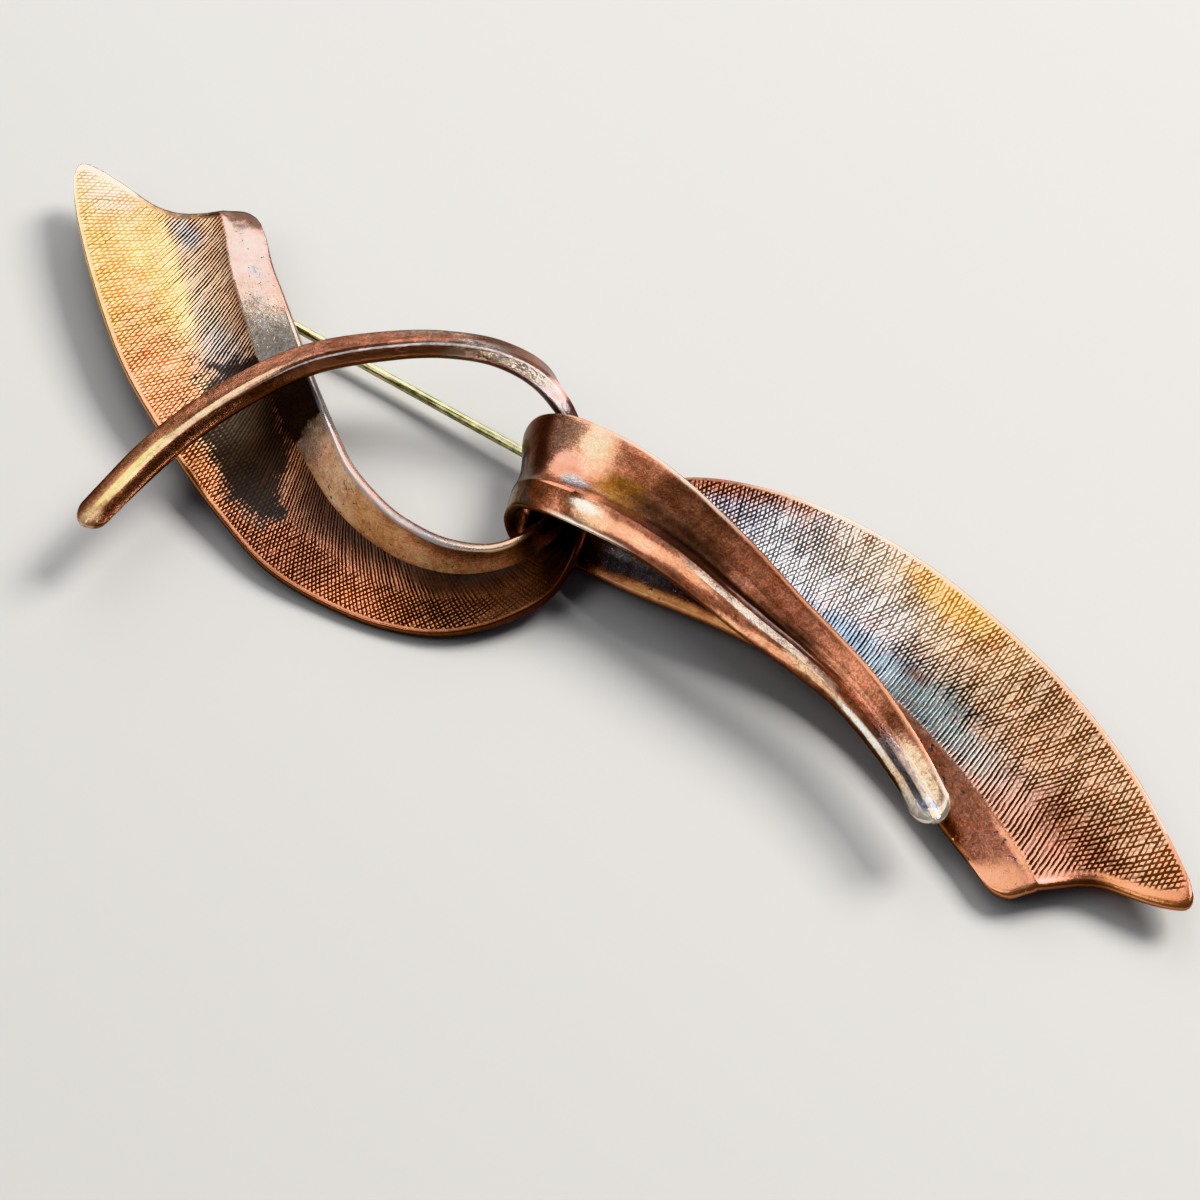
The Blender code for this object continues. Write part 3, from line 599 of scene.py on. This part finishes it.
def ribbon_piece(name, ribbon, fine, cross, look, material):
    """The fine closed mesh of a ribbon with its attributes for the finish."""
    start = stations_of(ribbon)
    side = sides_of()
    grid_start, grid_side = np.meshgrid(start, side, indexing="ij")
    half = SHEET * SKIN
    tail = half * thinned(ribbon.total - grid_start, END_ROUND)
    face = ribbon.surface(grid_start, grid_side, tail * thinned(grid_start, END_BEVEL))
    back = ribbon.surface(grid_start, grid_side, -tail * thinned(grid_start, BACK_ROUND))
    turns = np.linspace(0.0, np.pi, RIM_POINTS + 2)[1:-1]

    def rim(column, neighbour):
        a = face[:, column]
        b = back[:, column]
        middle = (a + b) / 2
        inner = (face[:, neighbour] + back[:, neighbour]) / 2
        out = unit(middle - inner) * SHEET * RIM_BULGE
        up = (a - b) / 2
        out = out * (np.linalg.norm(up, axis=1) / half)[:, None]
        return np.stack([middle + up * math.cos(t) + out * math.sin(t) for t in turns], axis=1)

    inner_rim = rim(-1, -2)
    outer_rim = rim(0, 1)[:, ::-1]
    rings = np.concatenate([face, inner_rim, back[:, ::-1], outer_rim], axis=1)
    count = rings.shape[1]
    width = len(side)
    stations = len(start)
    ring = np.arange(count)
    nxt = (ring + 1) % count
    i = np.arange(stations - 1)[:, None] * count
    quads = np.stack([i + ring, i + nxt, i + count + nxt, i + count + ring], axis=-1).reshape(-1, 4)
    faces = [tuple(quad) for quad in quads.tolist()]
    last = (stations - 1) * count
    for j in range(width - 1):
        mate = 2 * width + RIM_POINTS - 1 - j
        faces.append((j + 1, j, mate, mate - 1))
        faces.append((last + j, last + j + 1, last + mate - 1, last + mate))
    inner_loop = list(range(width - 1, width + RIM_POINTS + 1))
    outer_loop = [2 * width + RIM_POINTS - 1 + k for k in range(RIM_POINTS + 1)] + [0]
    for loop in (inner_loop, outer_loop):
        faces.append(tuple(reversed(loop)))
        faces.append(tuple(last + k for k in loop))

    mesh = bpy.data.meshes.new(name)
    mesh.from_pydata(rings.reshape(-1, 3).tolist(), [], faces)
    mesh.validate()

    ring_side = np.concatenate([side, np.full(RIM_POINTS, -1.0), side[::-1], np.full(RIM_POINTS, 1.0)])
    over_rim = np.linspace(1, 0, RIM_POINTS + 2)[1:-1]
    ring_face = np.concatenate([np.ones(width), over_rim, np.zeros(width), over_rim[::-1]])
    at = ribbon.along(start[:, None], ring_side[None, :])
    sides = np.broadcast_to(ring_side, at.shape)
    facing = np.broadcast_to(ring_face, at.shape)
    blade, _, flange, _ = np.moveaxis(smooth(ribbon.knots, ribbon.shape, at) * MM, -1, 0)
    across = np.where(sides > 0, sides * blade, sides * flange)
    rows = ribbon.row_at(at)
    phase = engraving(ribbon, at, across, fine, cross)
    rim_distance = np.where(sides > 0, (1 - sides) * blade, (1 + sides) * flange)
    ends = (at - at[0]) * MM, (at[-1] - at) * MM
    masks = finish(look, rows, sides, at * MM, across, rim_distance, ends, facing)
    set_layer(mesh, "place", np.stack([at * MM, across, facing], axis=-1))
    set_layer(mesh, "hatch", np.stack([phase[0], phase[1], masks["hatch"]], axis=-1))
    set_layer(mesh, "wear", np.stack([masks["grit"], masks["cross"], masks["dull"]], axis=-1))
    for color, alpha in (("tint", "fill"), ("edge", "burnish_and_highlight")):
        values = np.concatenate([masks[color], masks[alpha][..., None]], axis=-1)
        set_layer(mesh, color, values, "FLOAT_COLOR", "color")

    turn_outward(mesh)
    shade_smooth(mesh, 50)
    mesh.materials.append(material)
    return placed(name, mesh)


def ramp01(low, high, values):
    """Zero below low, one above high, smooth between."""
    t = np.clip((values - low) / (high - low), 0.0, 1.0)
    return t * t * (3 - 2 * t)


def spots(table, rows, side, facing):
    """The strongest of a table's soft spots at each point."""
    total = np.zeros_like(rows)
    for row, place, long_reach, wide_reach, value, *turned in table:
        away = ((rows - row) / long_reach) ** 2 + ((side - place) / wide_reach) ** 2
        shown = facing if any(turned) else 1 - facing
        total = np.maximum(total, value * shown * np.exp(-(away ** 2)))
    return total


def finish(look, rows, side, along, across, rim_distance, ends, facing):
    """Everything that the finish needs at each point of a ribbon."""
    blade, fill_blade = paint(*look["blade"], rows, side, along, across)
    flange, fill_flange = paint(*look["flange"], rows, side, along, across)
    back, fill_back = paint(*look["back"], rows, side, along, across, 0.11)
    on_blade = ramp01(-0.01, 0.01, side)
    face = blade * on_blade[..., None] + flange * (1 - on_blade)[..., None]
    fill_face = fill_blade * on_blade + fill_flange * (1 - on_blade)
    tint = face * facing[..., None] + back * (1 - facing)[..., None]
    fill = fill_face * facing + fill_back * (1 - facing)
    # Rim colour: burnish, with a painted highlight where the rims catch the light.
    outer, outer_amount = along_rim(look["outer_rim"], rows)
    inner, inner_amount = along_rim(look["inner_rim"], rows)
    edge = np.where((side > 0)[..., None], outer, inner)
    amount = np.where(side > 0, outer_amount, inner_amount)
    width = look["rim_width"] * (1 + 0.35 * wander(along, across * 0.2, 5.1))
    burnish_and_highlight = amount * (1 - ramp01(0.5 * width, 1.3 * width, rim_distance))
    # Rim colour mostly on the rim's upper half, where the light falls: painted highlight.
    upper = np.where(rows < 13.5, facing, 1 - facing)
    burnish_and_highlight = burnish_and_highlight * (0.15 + 0.85 * ramp01(0.5, 0.9, upper))
    # Darker across the rounded rims themselves: painted shade.
    tint = tint * (1 - 2.2 * facing * (1 - facing))[..., None]
    # The ends' bevels: burnish with painted highlight and shade.
    for name, distance in zip(("free_end", "tip_end"), ends):
        color, strength = along_rim(look[name], side)
        reach = 1 + 2.4 * ramp01(0.0, 0.3, -side)
        near = strength * (1 - ramp01(0.55, 1.05, distance / reach))
        more = near > burnish_and_highlight
        edge = np.where(more[..., None], color, edge)
        burnish_and_highlight = np.maximum(burnish_and_highlight, near)
    hatch = on_blade * facing * (1 - ramp01(look["hatch_end"] - 0.8, look["hatch_end"], rows))
    hatch = hatch * ramp01(0.08, 0.26, rim_distance)
    hatch = look["depth"] * hatch * ramp01(0.5, 1.0, ends[0])
    hatch = hatch * (0.45 + 0.55 * ramp01(0.02, 0.10, tint[..., 0]))
    low, high, most = look["cross"]
    return {
        "tint": tint,
        "fill": fill,
        "edge": edge,
        "burnish_and_highlight": np.clip(burnish_and_highlight, 0.0, 1.0),
        "hatch": hatch,
        "grit": spots(look["grit"], rows, side, facing),
        "dull": spots(look["dull"], rows, side, facing),
        "cross": most * ramp01(low, high, side),
    }


class Nodes:
    """Short calls for building a node tree."""

    def __init__(self, name):
        self.material = bpy.data.materials.new(name)
        self.material.use_nodes = True
        self.tree = self.material.node_tree
        self.shader = self.tree.nodes["Principled BSDF"]

    def add(self, kind, inputs=None, **settings):
        node = self.tree.nodes.new(kind)
        for key, value in settings.items():
            setattr(node, key, value)
        for key, value in (inputs or {}).items():
            self.put(node.inputs[key], value)
        return node

    def put(self, socket, value):
        if isinstance(value, bpy.types.NodeSocket):
            self.tree.links.new(value, socket)
        else:
            socket.default_value = value

    def math(self, operation, first, second=0.0, third=0.0, clamp=False):
        inputs = {0: first, 1: second, 2: third}
        return self.add("ShaderNodeMath", inputs, operation=operation, use_clamp=clamp).outputs[0]

    def times(self, first, second):
        return self.math("MULTIPLY", first, second)

    def less(self, first, second):
        return self.math("SUBTRACT", first, second)

    def plus(self, total, *terms):
        """A sum of values times their shares."""
        for value, share in terms:
            total = self.math("ADD", total, self.times(value, share))
        return total

    def sway(self, value, share, middle):
        """A middle value that a noise varies."""
        return self.math("MULTIPLY_ADD", self.less(value, 0.5), share, middle)

    def tone(self, share, base, factors):
        """Multiply a share of the colour by factors."""
        return self.mix(share, base, self.mix(1.0, base, rgba(*factors), "MULTIPLY"))

    def millimetres(self):
        """The object's own coordinates in millimetres."""
        return self.scaled(self.add("ShaderNodeTexCoord").outputs["Object"], (MM, MM, MM))

    def mix(self, factor, first, second, blend="MIX"):
        settings = {"data_type": "RGBA", "blend_type": blend, "clamp_result": True}
        return self.add("ShaderNodeMix", {0: factor, 6: first, 7: second}, **settings).outputs[2]

    def range(self, value, low, high, start=0.0, end=1.0):
        inputs = {0: value, 1: low, 2: high, 3: start, 4: end}
        return self.add("ShaderNodeMapRange", inputs, interpolation_type="SMOOTHSTEP").outputs[0]

    def noise(self, vector, scale, detail=3.0, roughness=0.5, distortion=0.0):
        inputs = {"Vector": vector, "Scale": scale, "Detail": detail, "Roughness": roughness}
        return self.add("ShaderNodeTexNoise", {**inputs, "Distortion": distortion}).outputs[0]

    def scaled(self, vector, factors):
        return self.add("ShaderNodeVectorMath", {0: vector, 1: factors}, operation="MULTIPLY").outputs[0]

    def attribute(self, name):
        return self.add("ShaderNodeAttribute", attribute_name=name)

    def parts(self, name):
        vector = self.attribute(name).outputs["Vector"]
        return tuple(self.add("ShaderNodeSeparateXYZ", {0: vector}).outputs)

    def stack(self, first, second, third=0.0):
        return self.add("ShaderNodeCombineXYZ", {0: first, 1: second, 2: third}).outputs[0]

    def finish(self, color, roughness, height, distance, metallic=1.0):
        bump = self.add("ShaderNodeBump", {"Height": height, "Distance": distance, "Strength": 1.0})
        inputs = {"Base Color": color, "Roughness": roughness, "Metallic": metallic}
        for key, value in {**inputs, "Normal": bump.outputs[0]}.items():
            self.put(self.shader.inputs[key], value)
        return self.material


def rgba(red, green, blue):
    """A linear colour with full alpha."""
    return (red, green, blue, 1.0)


def copper(name):
    """Aged copper, engraved, dark in the hollows and burnished on the rims, with painted highlights and
    shade in its colours.
    """
    n = Nodes(name)
    along, across, facing = n.parts("place")
    fine, cross, hatch = n.parts("hatch")
    grit, cross_share, dull = n.parts("wear")
    tint = n.attribute("tint")
    edge = n.attribute("edge")
    body = n.millimetres()

    # Mottling, grain and brush marks
    broad = n.noise(body, 0.35, 3.0, 0.5)
    medium = n.noise(body, 1.3, 5.0, 0.6)
    small = n.noise(body, 5.0, 4.0, 0.65)
    brushed = n.noise(n.stack(n.times(along, 0.9), n.times(across, 8.0), facing), 1.0, 5.0, 0.7)

    # Two families of engraved lines that waver and fade
    wobble = n.sway(small, 0.4, n.times(n.less(medium, 0.5), 0.7))
    lines = []
    for own, other in ((fine, cross), (cross, fine)):
        line = n.noise(n.stack(n.times(own, 0.9), n.times(other, 0.10)), 1.0, 2.0, 0.6)
        phase = n.math("ADD", own, n.sway(line, 0.6, wobble))
        wave = n.math("MULTIPLY_ADD", n.math("SINE", n.times(phase, 2 * math.pi)), 0.5, 0.5)
        lines.append(n.times(wave, n.range(line, 0.34, 0.58, 0.50, 1.0)))
    relief = n.math("MAXIMUM", lines[0], n.times(lines[1], cross_share))
    groove = n.times(relief, hatch)
    ridge = n.times(n.less(1.0, relief), hatch)
    plain = n.less(1.0, n.times(hatch, 0.75))

    # Metal with reddish areas, brush marks, curled scratches and specks
    mottle = n.less(n.range(medium, 0.3, 0.72, 1.15, 0.80), 1.0)
    vary = n.times(n.range(broad, 0.3, 0.7, 0.80, 1.20), n.math("MULTIPLY_ADD", mottle, plain, 1.0))
    base = n.mix(1.0, tint.outputs["Color"], vary, "MULTIPLY")
    reddish = n.range(n.noise(body, 0.8, 5.0, 0.65), 0.50, 0.72, 0.0, 0.35)
    base = n.tone(reddish, base, (1.25, 0.72, 0.58))
    base = n.tone(n.range(brushed, 0.46, 0.72, 0.0, 0.35), base, (1.7, 1.65, 1.6))
    drawn = n.times(n.range(brushed, 0.30, 0.47, 0.5, 0.0), plain)
    base = n.tone(drawn, base, (0.45, 0.40, 0.38))
    curl = n.math("ABSOLUTE", n.less(n.noise(body, 1.7, 7.0, 0.72, 1.6), 0.5))
    scratch = n.times(n.range(curl, 0.008, 0.035, 0.85, 0.0), plain)
    base = n.tone(scratch, base, (2.2, 2.0, 1.9))
    base = n.tone(n.times(n.range(small, 0.62, 0.72), 0.15), base, (0.25, 0.22, 0.22))

    # Pits on the flange, grit on the back
    pits = n.times(facing, n.math("LESS_THAN", across, 0.0))
    pitted = n.times(pits, n.range(n.noise(body, 2.2, 3.0, 0.5, 0.6), 0.64, 0.70))
    base = n.mix(n.times(pitted, 0.8), base, rgba(0.05, 0.06, 0.075))
    gritty = n.times(grit, n.range(n.noise(body, 8.0, 3.0, 0.7), 0.42, 0.58, 1.0, 0.0))
    base = n.mix(gritty, base, rgba(0.02, 0.014, 0.010))

    # Dark grooves, ridges lighter from wear and a painted highlight, black patina with painted shadow, and
    # burnished rims with a painted highlight
    hollow = n.mix(1.0, n.mix(1.0, base, base, "MULTIPLY"), rgba(0.34, 0.31, 0.28), "MULTIPLY")
    hollow = n.mix(0.1, hollow, rgba(0.05, 0.034, 0.026))
    # Ridges lighter: wear, and a painted highlight on the relief.
    worn_ridge_highlight = n.mix(0.03, n.mix(1.0, base, rgba(2.2, 2.2, 2.2), "MULTIPLY"), rgba(0.92, 0.60, 0.41))
    cut = n.mix(n.range(groove, 0.25, 0.65, 0.0, 0.98), base, hollow)
    cut = n.mix(n.range(ridge, 0.50, 0.92, 0.0, 0.9), cut, worn_ridge_highlight)
    # The black patches cover the engraving in near black: patina, and painted shadow under the loops and
    # tails.
    cover = n.math("MULTIPLY_ADD", n.less(groove, ridge), 0.20, tint.outputs["Alpha"])
    cover = n.sway(small, 0.3, n.sway(medium, 0.7, cover))
    cover = n.times(n.range(cover, 0.36, 0.64), n.range(tint.outputs["Alpha"], 0.05, 0.3))
    cut = n.mix(n.times(cover, 0.96), cut, rgba(0.022, 0.021, 0.020))
    groove = n.times(groove, n.less(1.0, n.times(cover, 0.85)))
    shine = n.times(edge.outputs["Alpha"], n.range(medium, 0.25, 0.55, 0.65, 1.0))
    color = n.mix(shine, cut, edge.outputs["Color"])

    rough = n.range(small, 0.3, 0.7, 0.20, 0.27)
    rough = n.plus(rough, (hatch, 0.05), (groove, 0.35), (cover, 0.14), (dull, 0.15))
    rough = n.math("ADD", rough, n.times(pitted, 0.2), clamp=True)
    height = n.plus(n.times(groove, -1.0), (medium, 0.9), (small, 0.07), (brushed, 0.12))
    height = n.plus(height, (pitted, -0.8), (gritty, -1.2))
    return n.finish(color, rough, height, 0.00003, n.less(1.0, n.times(dull, 0.85)))


def fittings(name):
    """Dark soldered copper with worn corners, for the hinge ears and the catch."""
    n = Nodes(name)
    body = n.millimetres()
    stain = n.noise(body, 1.6, 5.0, 0.6)
    small = n.noise(body, 7.0, 4.0, 0.65)
    base = n.mix(n.range(stain, 0.38, 0.66), rgba(0.38, 0.15, 0.07), rgba(0.05, 0.028, 0.020))
    color = n.mix(n.range(small, 0.52, 0.74, 0.0, 0.5), base, rgba(0.62, 0.30, 0.16))
    rough = n.range(small, 0.3, 0.7, 0.30, 0.52)
    return n.finish(color, rough, small, 0.00002)


def brass(name):
    """Drawn brass wire with fine scratches round it and a little tarnish."""
    n = Nodes(name)
    body = n.millimetres()
    drawn = n.noise(n.scaled(body, (0.6, 9.0, 9.0)), 1.0, 4.0, 0.6)
    stain = n.noise(body, 0.8, 4.0, 0.6)
    base = n.mix(n.range(stain, 0.40, 0.70), rgba(0.60, 0.57, 0.35), rgba(0.26, 0.25, 0.13))
    color = n.mix(n.range(drawn, 0.45, 0.75, 0.0, 0.35), base, rgba(0.90, 0.88, 0.48))
    rough = n.range(drawn, 0.3, 0.7, 0.22, 0.38)
    return n.finish(color, rough, drawn, 0.000008)


def plain_mesh(name, points, faces, material):
    """A named object with its faces turned outward."""
    mesh = bpy.data.meshes.new(name)
    mesh.from_pydata([tuple(point) for point in points], [], faces)
    turn_outward(mesh)
    mesh.materials.append(material)
    return placed(name, mesh)


def pin_axes():
    """Hinge point and the pin's directions: along it, along its rivet, and up to the blade."""
    base = Vector((*plan(*PIN_START), PIN_HEIGHT))
    forward = Vector(direction(PIN_HEADING, 0.0))
    level = Vector((forward.y, -forward.x, 0.0))
    tilt = math.radians(PIN_TILT)
    axis = level * math.cos(tilt) + Vector((0, 0, 1)) * math.sin(tilt)
    return base, forward, axis, axis.cross(forward)


def frame_matrix(place, x_axis, y_axis, z_axis):
    """A matrix that carries X, Y and Z onto three directions at a place."""
    turn = Matrix((x_axis, y_axis, z_axis)).transposed()
    return Matrix.Translation(place) @ turn.to_4x4()


def turned_bar(name, matrix, rings, sides, material):
    """A bar of round sections along its own X, given as distance and radius."""
    points = []
    for distance, radius in rings:
        for k in range(sides):
            turn = 2 * math.pi * k / sides
            points.append(matrix @ Vector((distance, radius * math.cos(turn), radius * math.sin(turn))))
    faces = [tuple(range(sides - 1, -1, -1))]
    for i in range(len(rings) - 1):
        for k in range(sides):
            m = (k + 1) % sides
            faces.append((i * sides + k, i * sides + m, (i + 1) * sides + m, (i + 1) * sides + k))
    first = (len(rings) - 1) * sides
    faces.append(tuple(range(first, first + sides)))
    return plain_mesh(name, points, faces, material)


def apply_modifiers(item):
    """Keep the shape that the modifiers give."""
    graph = bpy.context.evaluated_depsgraph_get()
    mesh = bpy.data.meshes.new_from_object(item.evaluated_get(graph))
    item.modifiers.clear()
    old = item.data
    item.data = mesh
    bpy.data.meshes.remove(old)


def boolean(target, cutter, operation):
    """Combine two solids and remove the second."""
    step = target.modifiers.new("combine", "BOOLEAN")
    step.object = cutter
    step.operation = operation
    step.solver = "EXACT"
    apply_modifiers(target)
    bpy.data.objects.remove(cutter, do_unlink=True)


def bevelled(item, width):
    """Round the edges a little and shade smoothly."""
    step = item.modifiers.new("edges", "BEVEL")
    step.width = width
    step.segments = 2
    step.limit_method = "ANGLE"
    step.angle_limit = math.radians(40)
    apply_modifiers(item)
    shade_smooth(item.data, 40)


def hinge_ear(name, ribbon, offset, material):
    """One ear: a plate from the blade down to the resting plane, with the rivet's hole."""
    base, forward, axis, up = pin_axes()
    center = base + axis * offset
    points = []
    for shift in (-EAR_THICKNESS / 2, EAR_THICKNESS / 2):
        for end in (-EAR_LENGTH / 2, EAR_LENGTH / 2):
            side = center + axis * shift + forward * end
            foot = side - up * (side.z / up.z)
            head = side
            for _ in range(HEIGHT_STEPS):
                head = head + up * ((ribbon.height_at(head.x, head.y) - head.z) / up.z)
            points.extend((foot, head))
    faces = [(0, 1, 3, 2), (4, 6, 7, 5), (0, 2, 6, 4), (1, 5, 7, 3), (0, 4, 5, 1), (2, 3, 7, 6)]
    ear = plain_mesh(name, points, faces, material)
    hole = frame_matrix(center - axis * EAR_THICKNESS, axis, forward, up)
    radius = RIVET_RADIUS + FIT
    cutter = turned_bar("hole", hole, ((0.0, radius), (2 * EAR_THICKNESS, radius)), ROUND_SIDES, material)
    boolean(ear, cutter, "DIFFERENCE")
    bevelled(ear, EDGE_BEVEL)
    return ear


def catch_hook(name, ribbon, material):
    """A strip soldered under the blade and bent round the pin, open where the pin swings out."""
    base, forward, _, _ = pin_axes()
    level = Vector((forward.y, -forward.x, 0.0))
    center = base + forward * (PIN_REACH * LENGTH * CATCH_SHARE)
    inner = PIN_POINT_DIAMETER / 2 + CATCH_CLEARANCE
    outer = inner + CATCH_THICKNESS
    points = []
    sweep = CATCH_END - CATCH_START
    turns = [math.radians(CATCH_START + sweep * k / HOOK_BENDS) for k in range(HOOK_BENDS + 1)]
    for shift in (-CATCH_WIDTH / 2, CATCH_WIDTH / 2):
        for radius in (outer, inner):
            for turn in turns:
                step = level * radius * math.cos(turn) + Vector((0, 0, 1)) * radius * math.sin(turn)
                points.append(center + forward * shift + step)
    count = len(turns)
    faces = []
    for k in range(count - 1):
        faces.append((k, k + 1, 2 * count + k + 1, 2 * count + k))
        faces.append((count + k + 1, count + k, 3 * count + k, 3 * count + k + 1))
        faces.append((k + 1, k, count + k, count + k + 1))
        faces.append((2 * count + k, 2 * count + k + 1, 3 * count + k + 1, 3 * count + k))
    faces.append((0, 2 * count, 3 * count, count))
    faces.append((count - 1, 2 * count - 1, 4 * count - 1, 3 * count - 1))
    hook = plain_mesh(name, points, faces, material)
    bottom = PIN_HEIGHT + inner + CATCH_THICKNESS * 0.4
    corners = []
    for top in (False, True):
        for a, b in ((-1, -1), (1, -1), (1, 1), (-1, 1)):
            place = center + forward * (a * CATCH_WIDTH / 2) + level * (b * outer * 0.8)
            height = ribbon.height_at(place.x, place.y) if top else bottom
            corners.append(Vector((place.x, place.y, height)))
    block = [(3, 2, 1, 0), (4, 5, 6, 7), (0, 1, 5, 4), (1, 2, 6, 5), (2, 3, 7, 6), (3, 0, 4, 7)]
    boolean(hook, plain_mesh("foot", corners, block, material), "UNION")
    bevelled(hook, EDGE_BEVEL)
    return hook


def pin_piece(name, material):
    """The pin with its rounded eye, its rivet with domed ends and its sharp point."""
    base, forward, axis, up = pin_axes()
    reach = PIN_REACH * LENGTH
    wide = PIN_DIAMETER / 2
    narrow = PIN_POINT_DIAMETER / 2
    wire = frame_matrix(base, forward, axis, forward.cross(axis))
    rings = []
    for k in range(41):
        share = k / 40
        at = (reach - PIN_POINT_LENGTH) * share
        thinner = (narrow - wide) * (share - PIN_TAPER_START) / (1 - PIN_TAPER_START)
        rings.append((at, wide if share < PIN_TAPER_START else wide + thinner))
    for k in range(1, 11):
        t = k / 10
        rings.append((reach - PIN_POINT_LENGTH * (1 - t), narrow * max((1 - t) ** 0.75, 0.06)))
    pin = turned_bar(name, wire, rings, ROUND_SIDES, material)
    cross = frame_matrix(base, axis, forward, up)
    half_eye = EYE_WIDTH / 2
    eye_rings = []
    for k in range(9):
        turn = math.pi * k / 8
        bulge = EYE_RADIUS - EYE_ROUND * (1 - math.sin(turn))
        eye_rings.append((-half_eye * math.cos(turn), bulge))
    boolean(pin, turned_bar("eye", cross, eye_rings, EYE_SIDES, material), "UNION")
    half = half_eye + FIT + EAR_THICKNESS
    dome = ((0.0, 0.6), (0.3, 0.85), (1.0, 1.0))
    rivet_rings = [(-half + RIVET_DOME * depth, RIVET_RADIUS * share) for depth, share in dome]
    rivet_rings += [(-x, r) for x, r in reversed(rivet_rings)]
    boolean(pin, turned_bar("rivet", cross, rivet_rings, ROUND_SIDES, material), "UNION")
    shade_smooth(pin.data, 40)
    return pin


def floor_and_light():
    """Plain pale floor, soft lights and a grey surround."""
    n = Nodes("floor")
    n.put(n.shader.inputs["Base Color"], rgba(*FLOOR_COLOR))
    n.put(n.shader.inputs["Roughness"], 0.9)
    corners = [(a * FLOOR_HALF, b * FLOOR_HALF, 0) for a, b in ((-1, -1), (1, -1), (1, 1), (-1, 1))]
    plain_mesh("floor", corners, [(0, 1, 2, 3)], n.material)
    world = bpy.data.worlds.new("surround")
    bpy.context.scene.world = world
    world.use_nodes = True
    background = world.node_tree.nodes["Background"]
    background.inputs["Color"].default_value = rgba(*SURROUND)
    background.inputs["Strength"].default_value = SURROUND_STRENGTH
    bpy.context.scene.view_settings.view_transform = "Khronos PBR Neutral"
    for light in LIGHTS:
        soft_light(*light)


def soft_light(name, place, size, power, color):
    """A square area light that faces the brooch."""
    light = bpy.data.lights.new(name, "AREA")
    light.size = size
    light.energy = power
    light.color = color
    item = placed(name, light)
    item.location = place
    item.rotation_euler = (-Vector(place)).to_track_quat("-Z", "Y").to_euler()


def add_camera():
    """The camera at the photograph's angle."""
    data = bpy.data.cameras.new("camera")
    data.lens = LENS
    data.sensor_width = SENSOR
    data.clip_start = NEAREST
    item = placed("camera", data)
    around = math.radians(AZIMUTH)
    above = math.radians(ELEVATION)
    flat = math.cos(above)
    look = Vector((-math.sin(around) * flat, math.cos(around) * flat, -math.sin(above)))
    item.location = Vector(TARGET) - look * DISTANCE
    item.rotation_euler = look.to_track_quat("-Z", "Y").to_euler()
    bpy.context.scene.camera = item


add_camera()
left_copper = copper("left_copper_aged_painted_light")
right_copper = copper("right_copper_aged_painted_light")
fittings_copper = fittings("fittings_copper_aged")
pin_brass = brass("pin_brass_drawn")

left = Ribbon(LEFT_ROWS, CUT)
right = Ribbon(RIGHT_ROWS, CUT)
left_item = ribbon_piece("left_ribbon_fine", left, LEFT_FINE, LEFT_CROSS, LEFT_LOOK, left_copper)
right_item = ribbon_piece("right_ribbon_fine", right, RIGHT_FINE, RIGHT_CROSS, RIGHT_LOOK, right_copper)
spread = EYE_WIDTH / 2 + FIT + EAR_THICKNESS / 2
ears = [
    hinge_ear("ear_near", left, -spread, fittings_copper),
    hinge_ear("ear_far", left, spread, fittings_copper),
]
hook = catch_hook("catch_hook", right, fittings_copper)
pin_item = pin_piece("pin_fine", pin_brass)

for item in (left_item, right_item, *ears, hook):
    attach(item, "brooch")
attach(pin_item, "pin")
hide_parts("left_ribbon")
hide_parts("right_ribbon")
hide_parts("pin_stem")

floor_and_light()
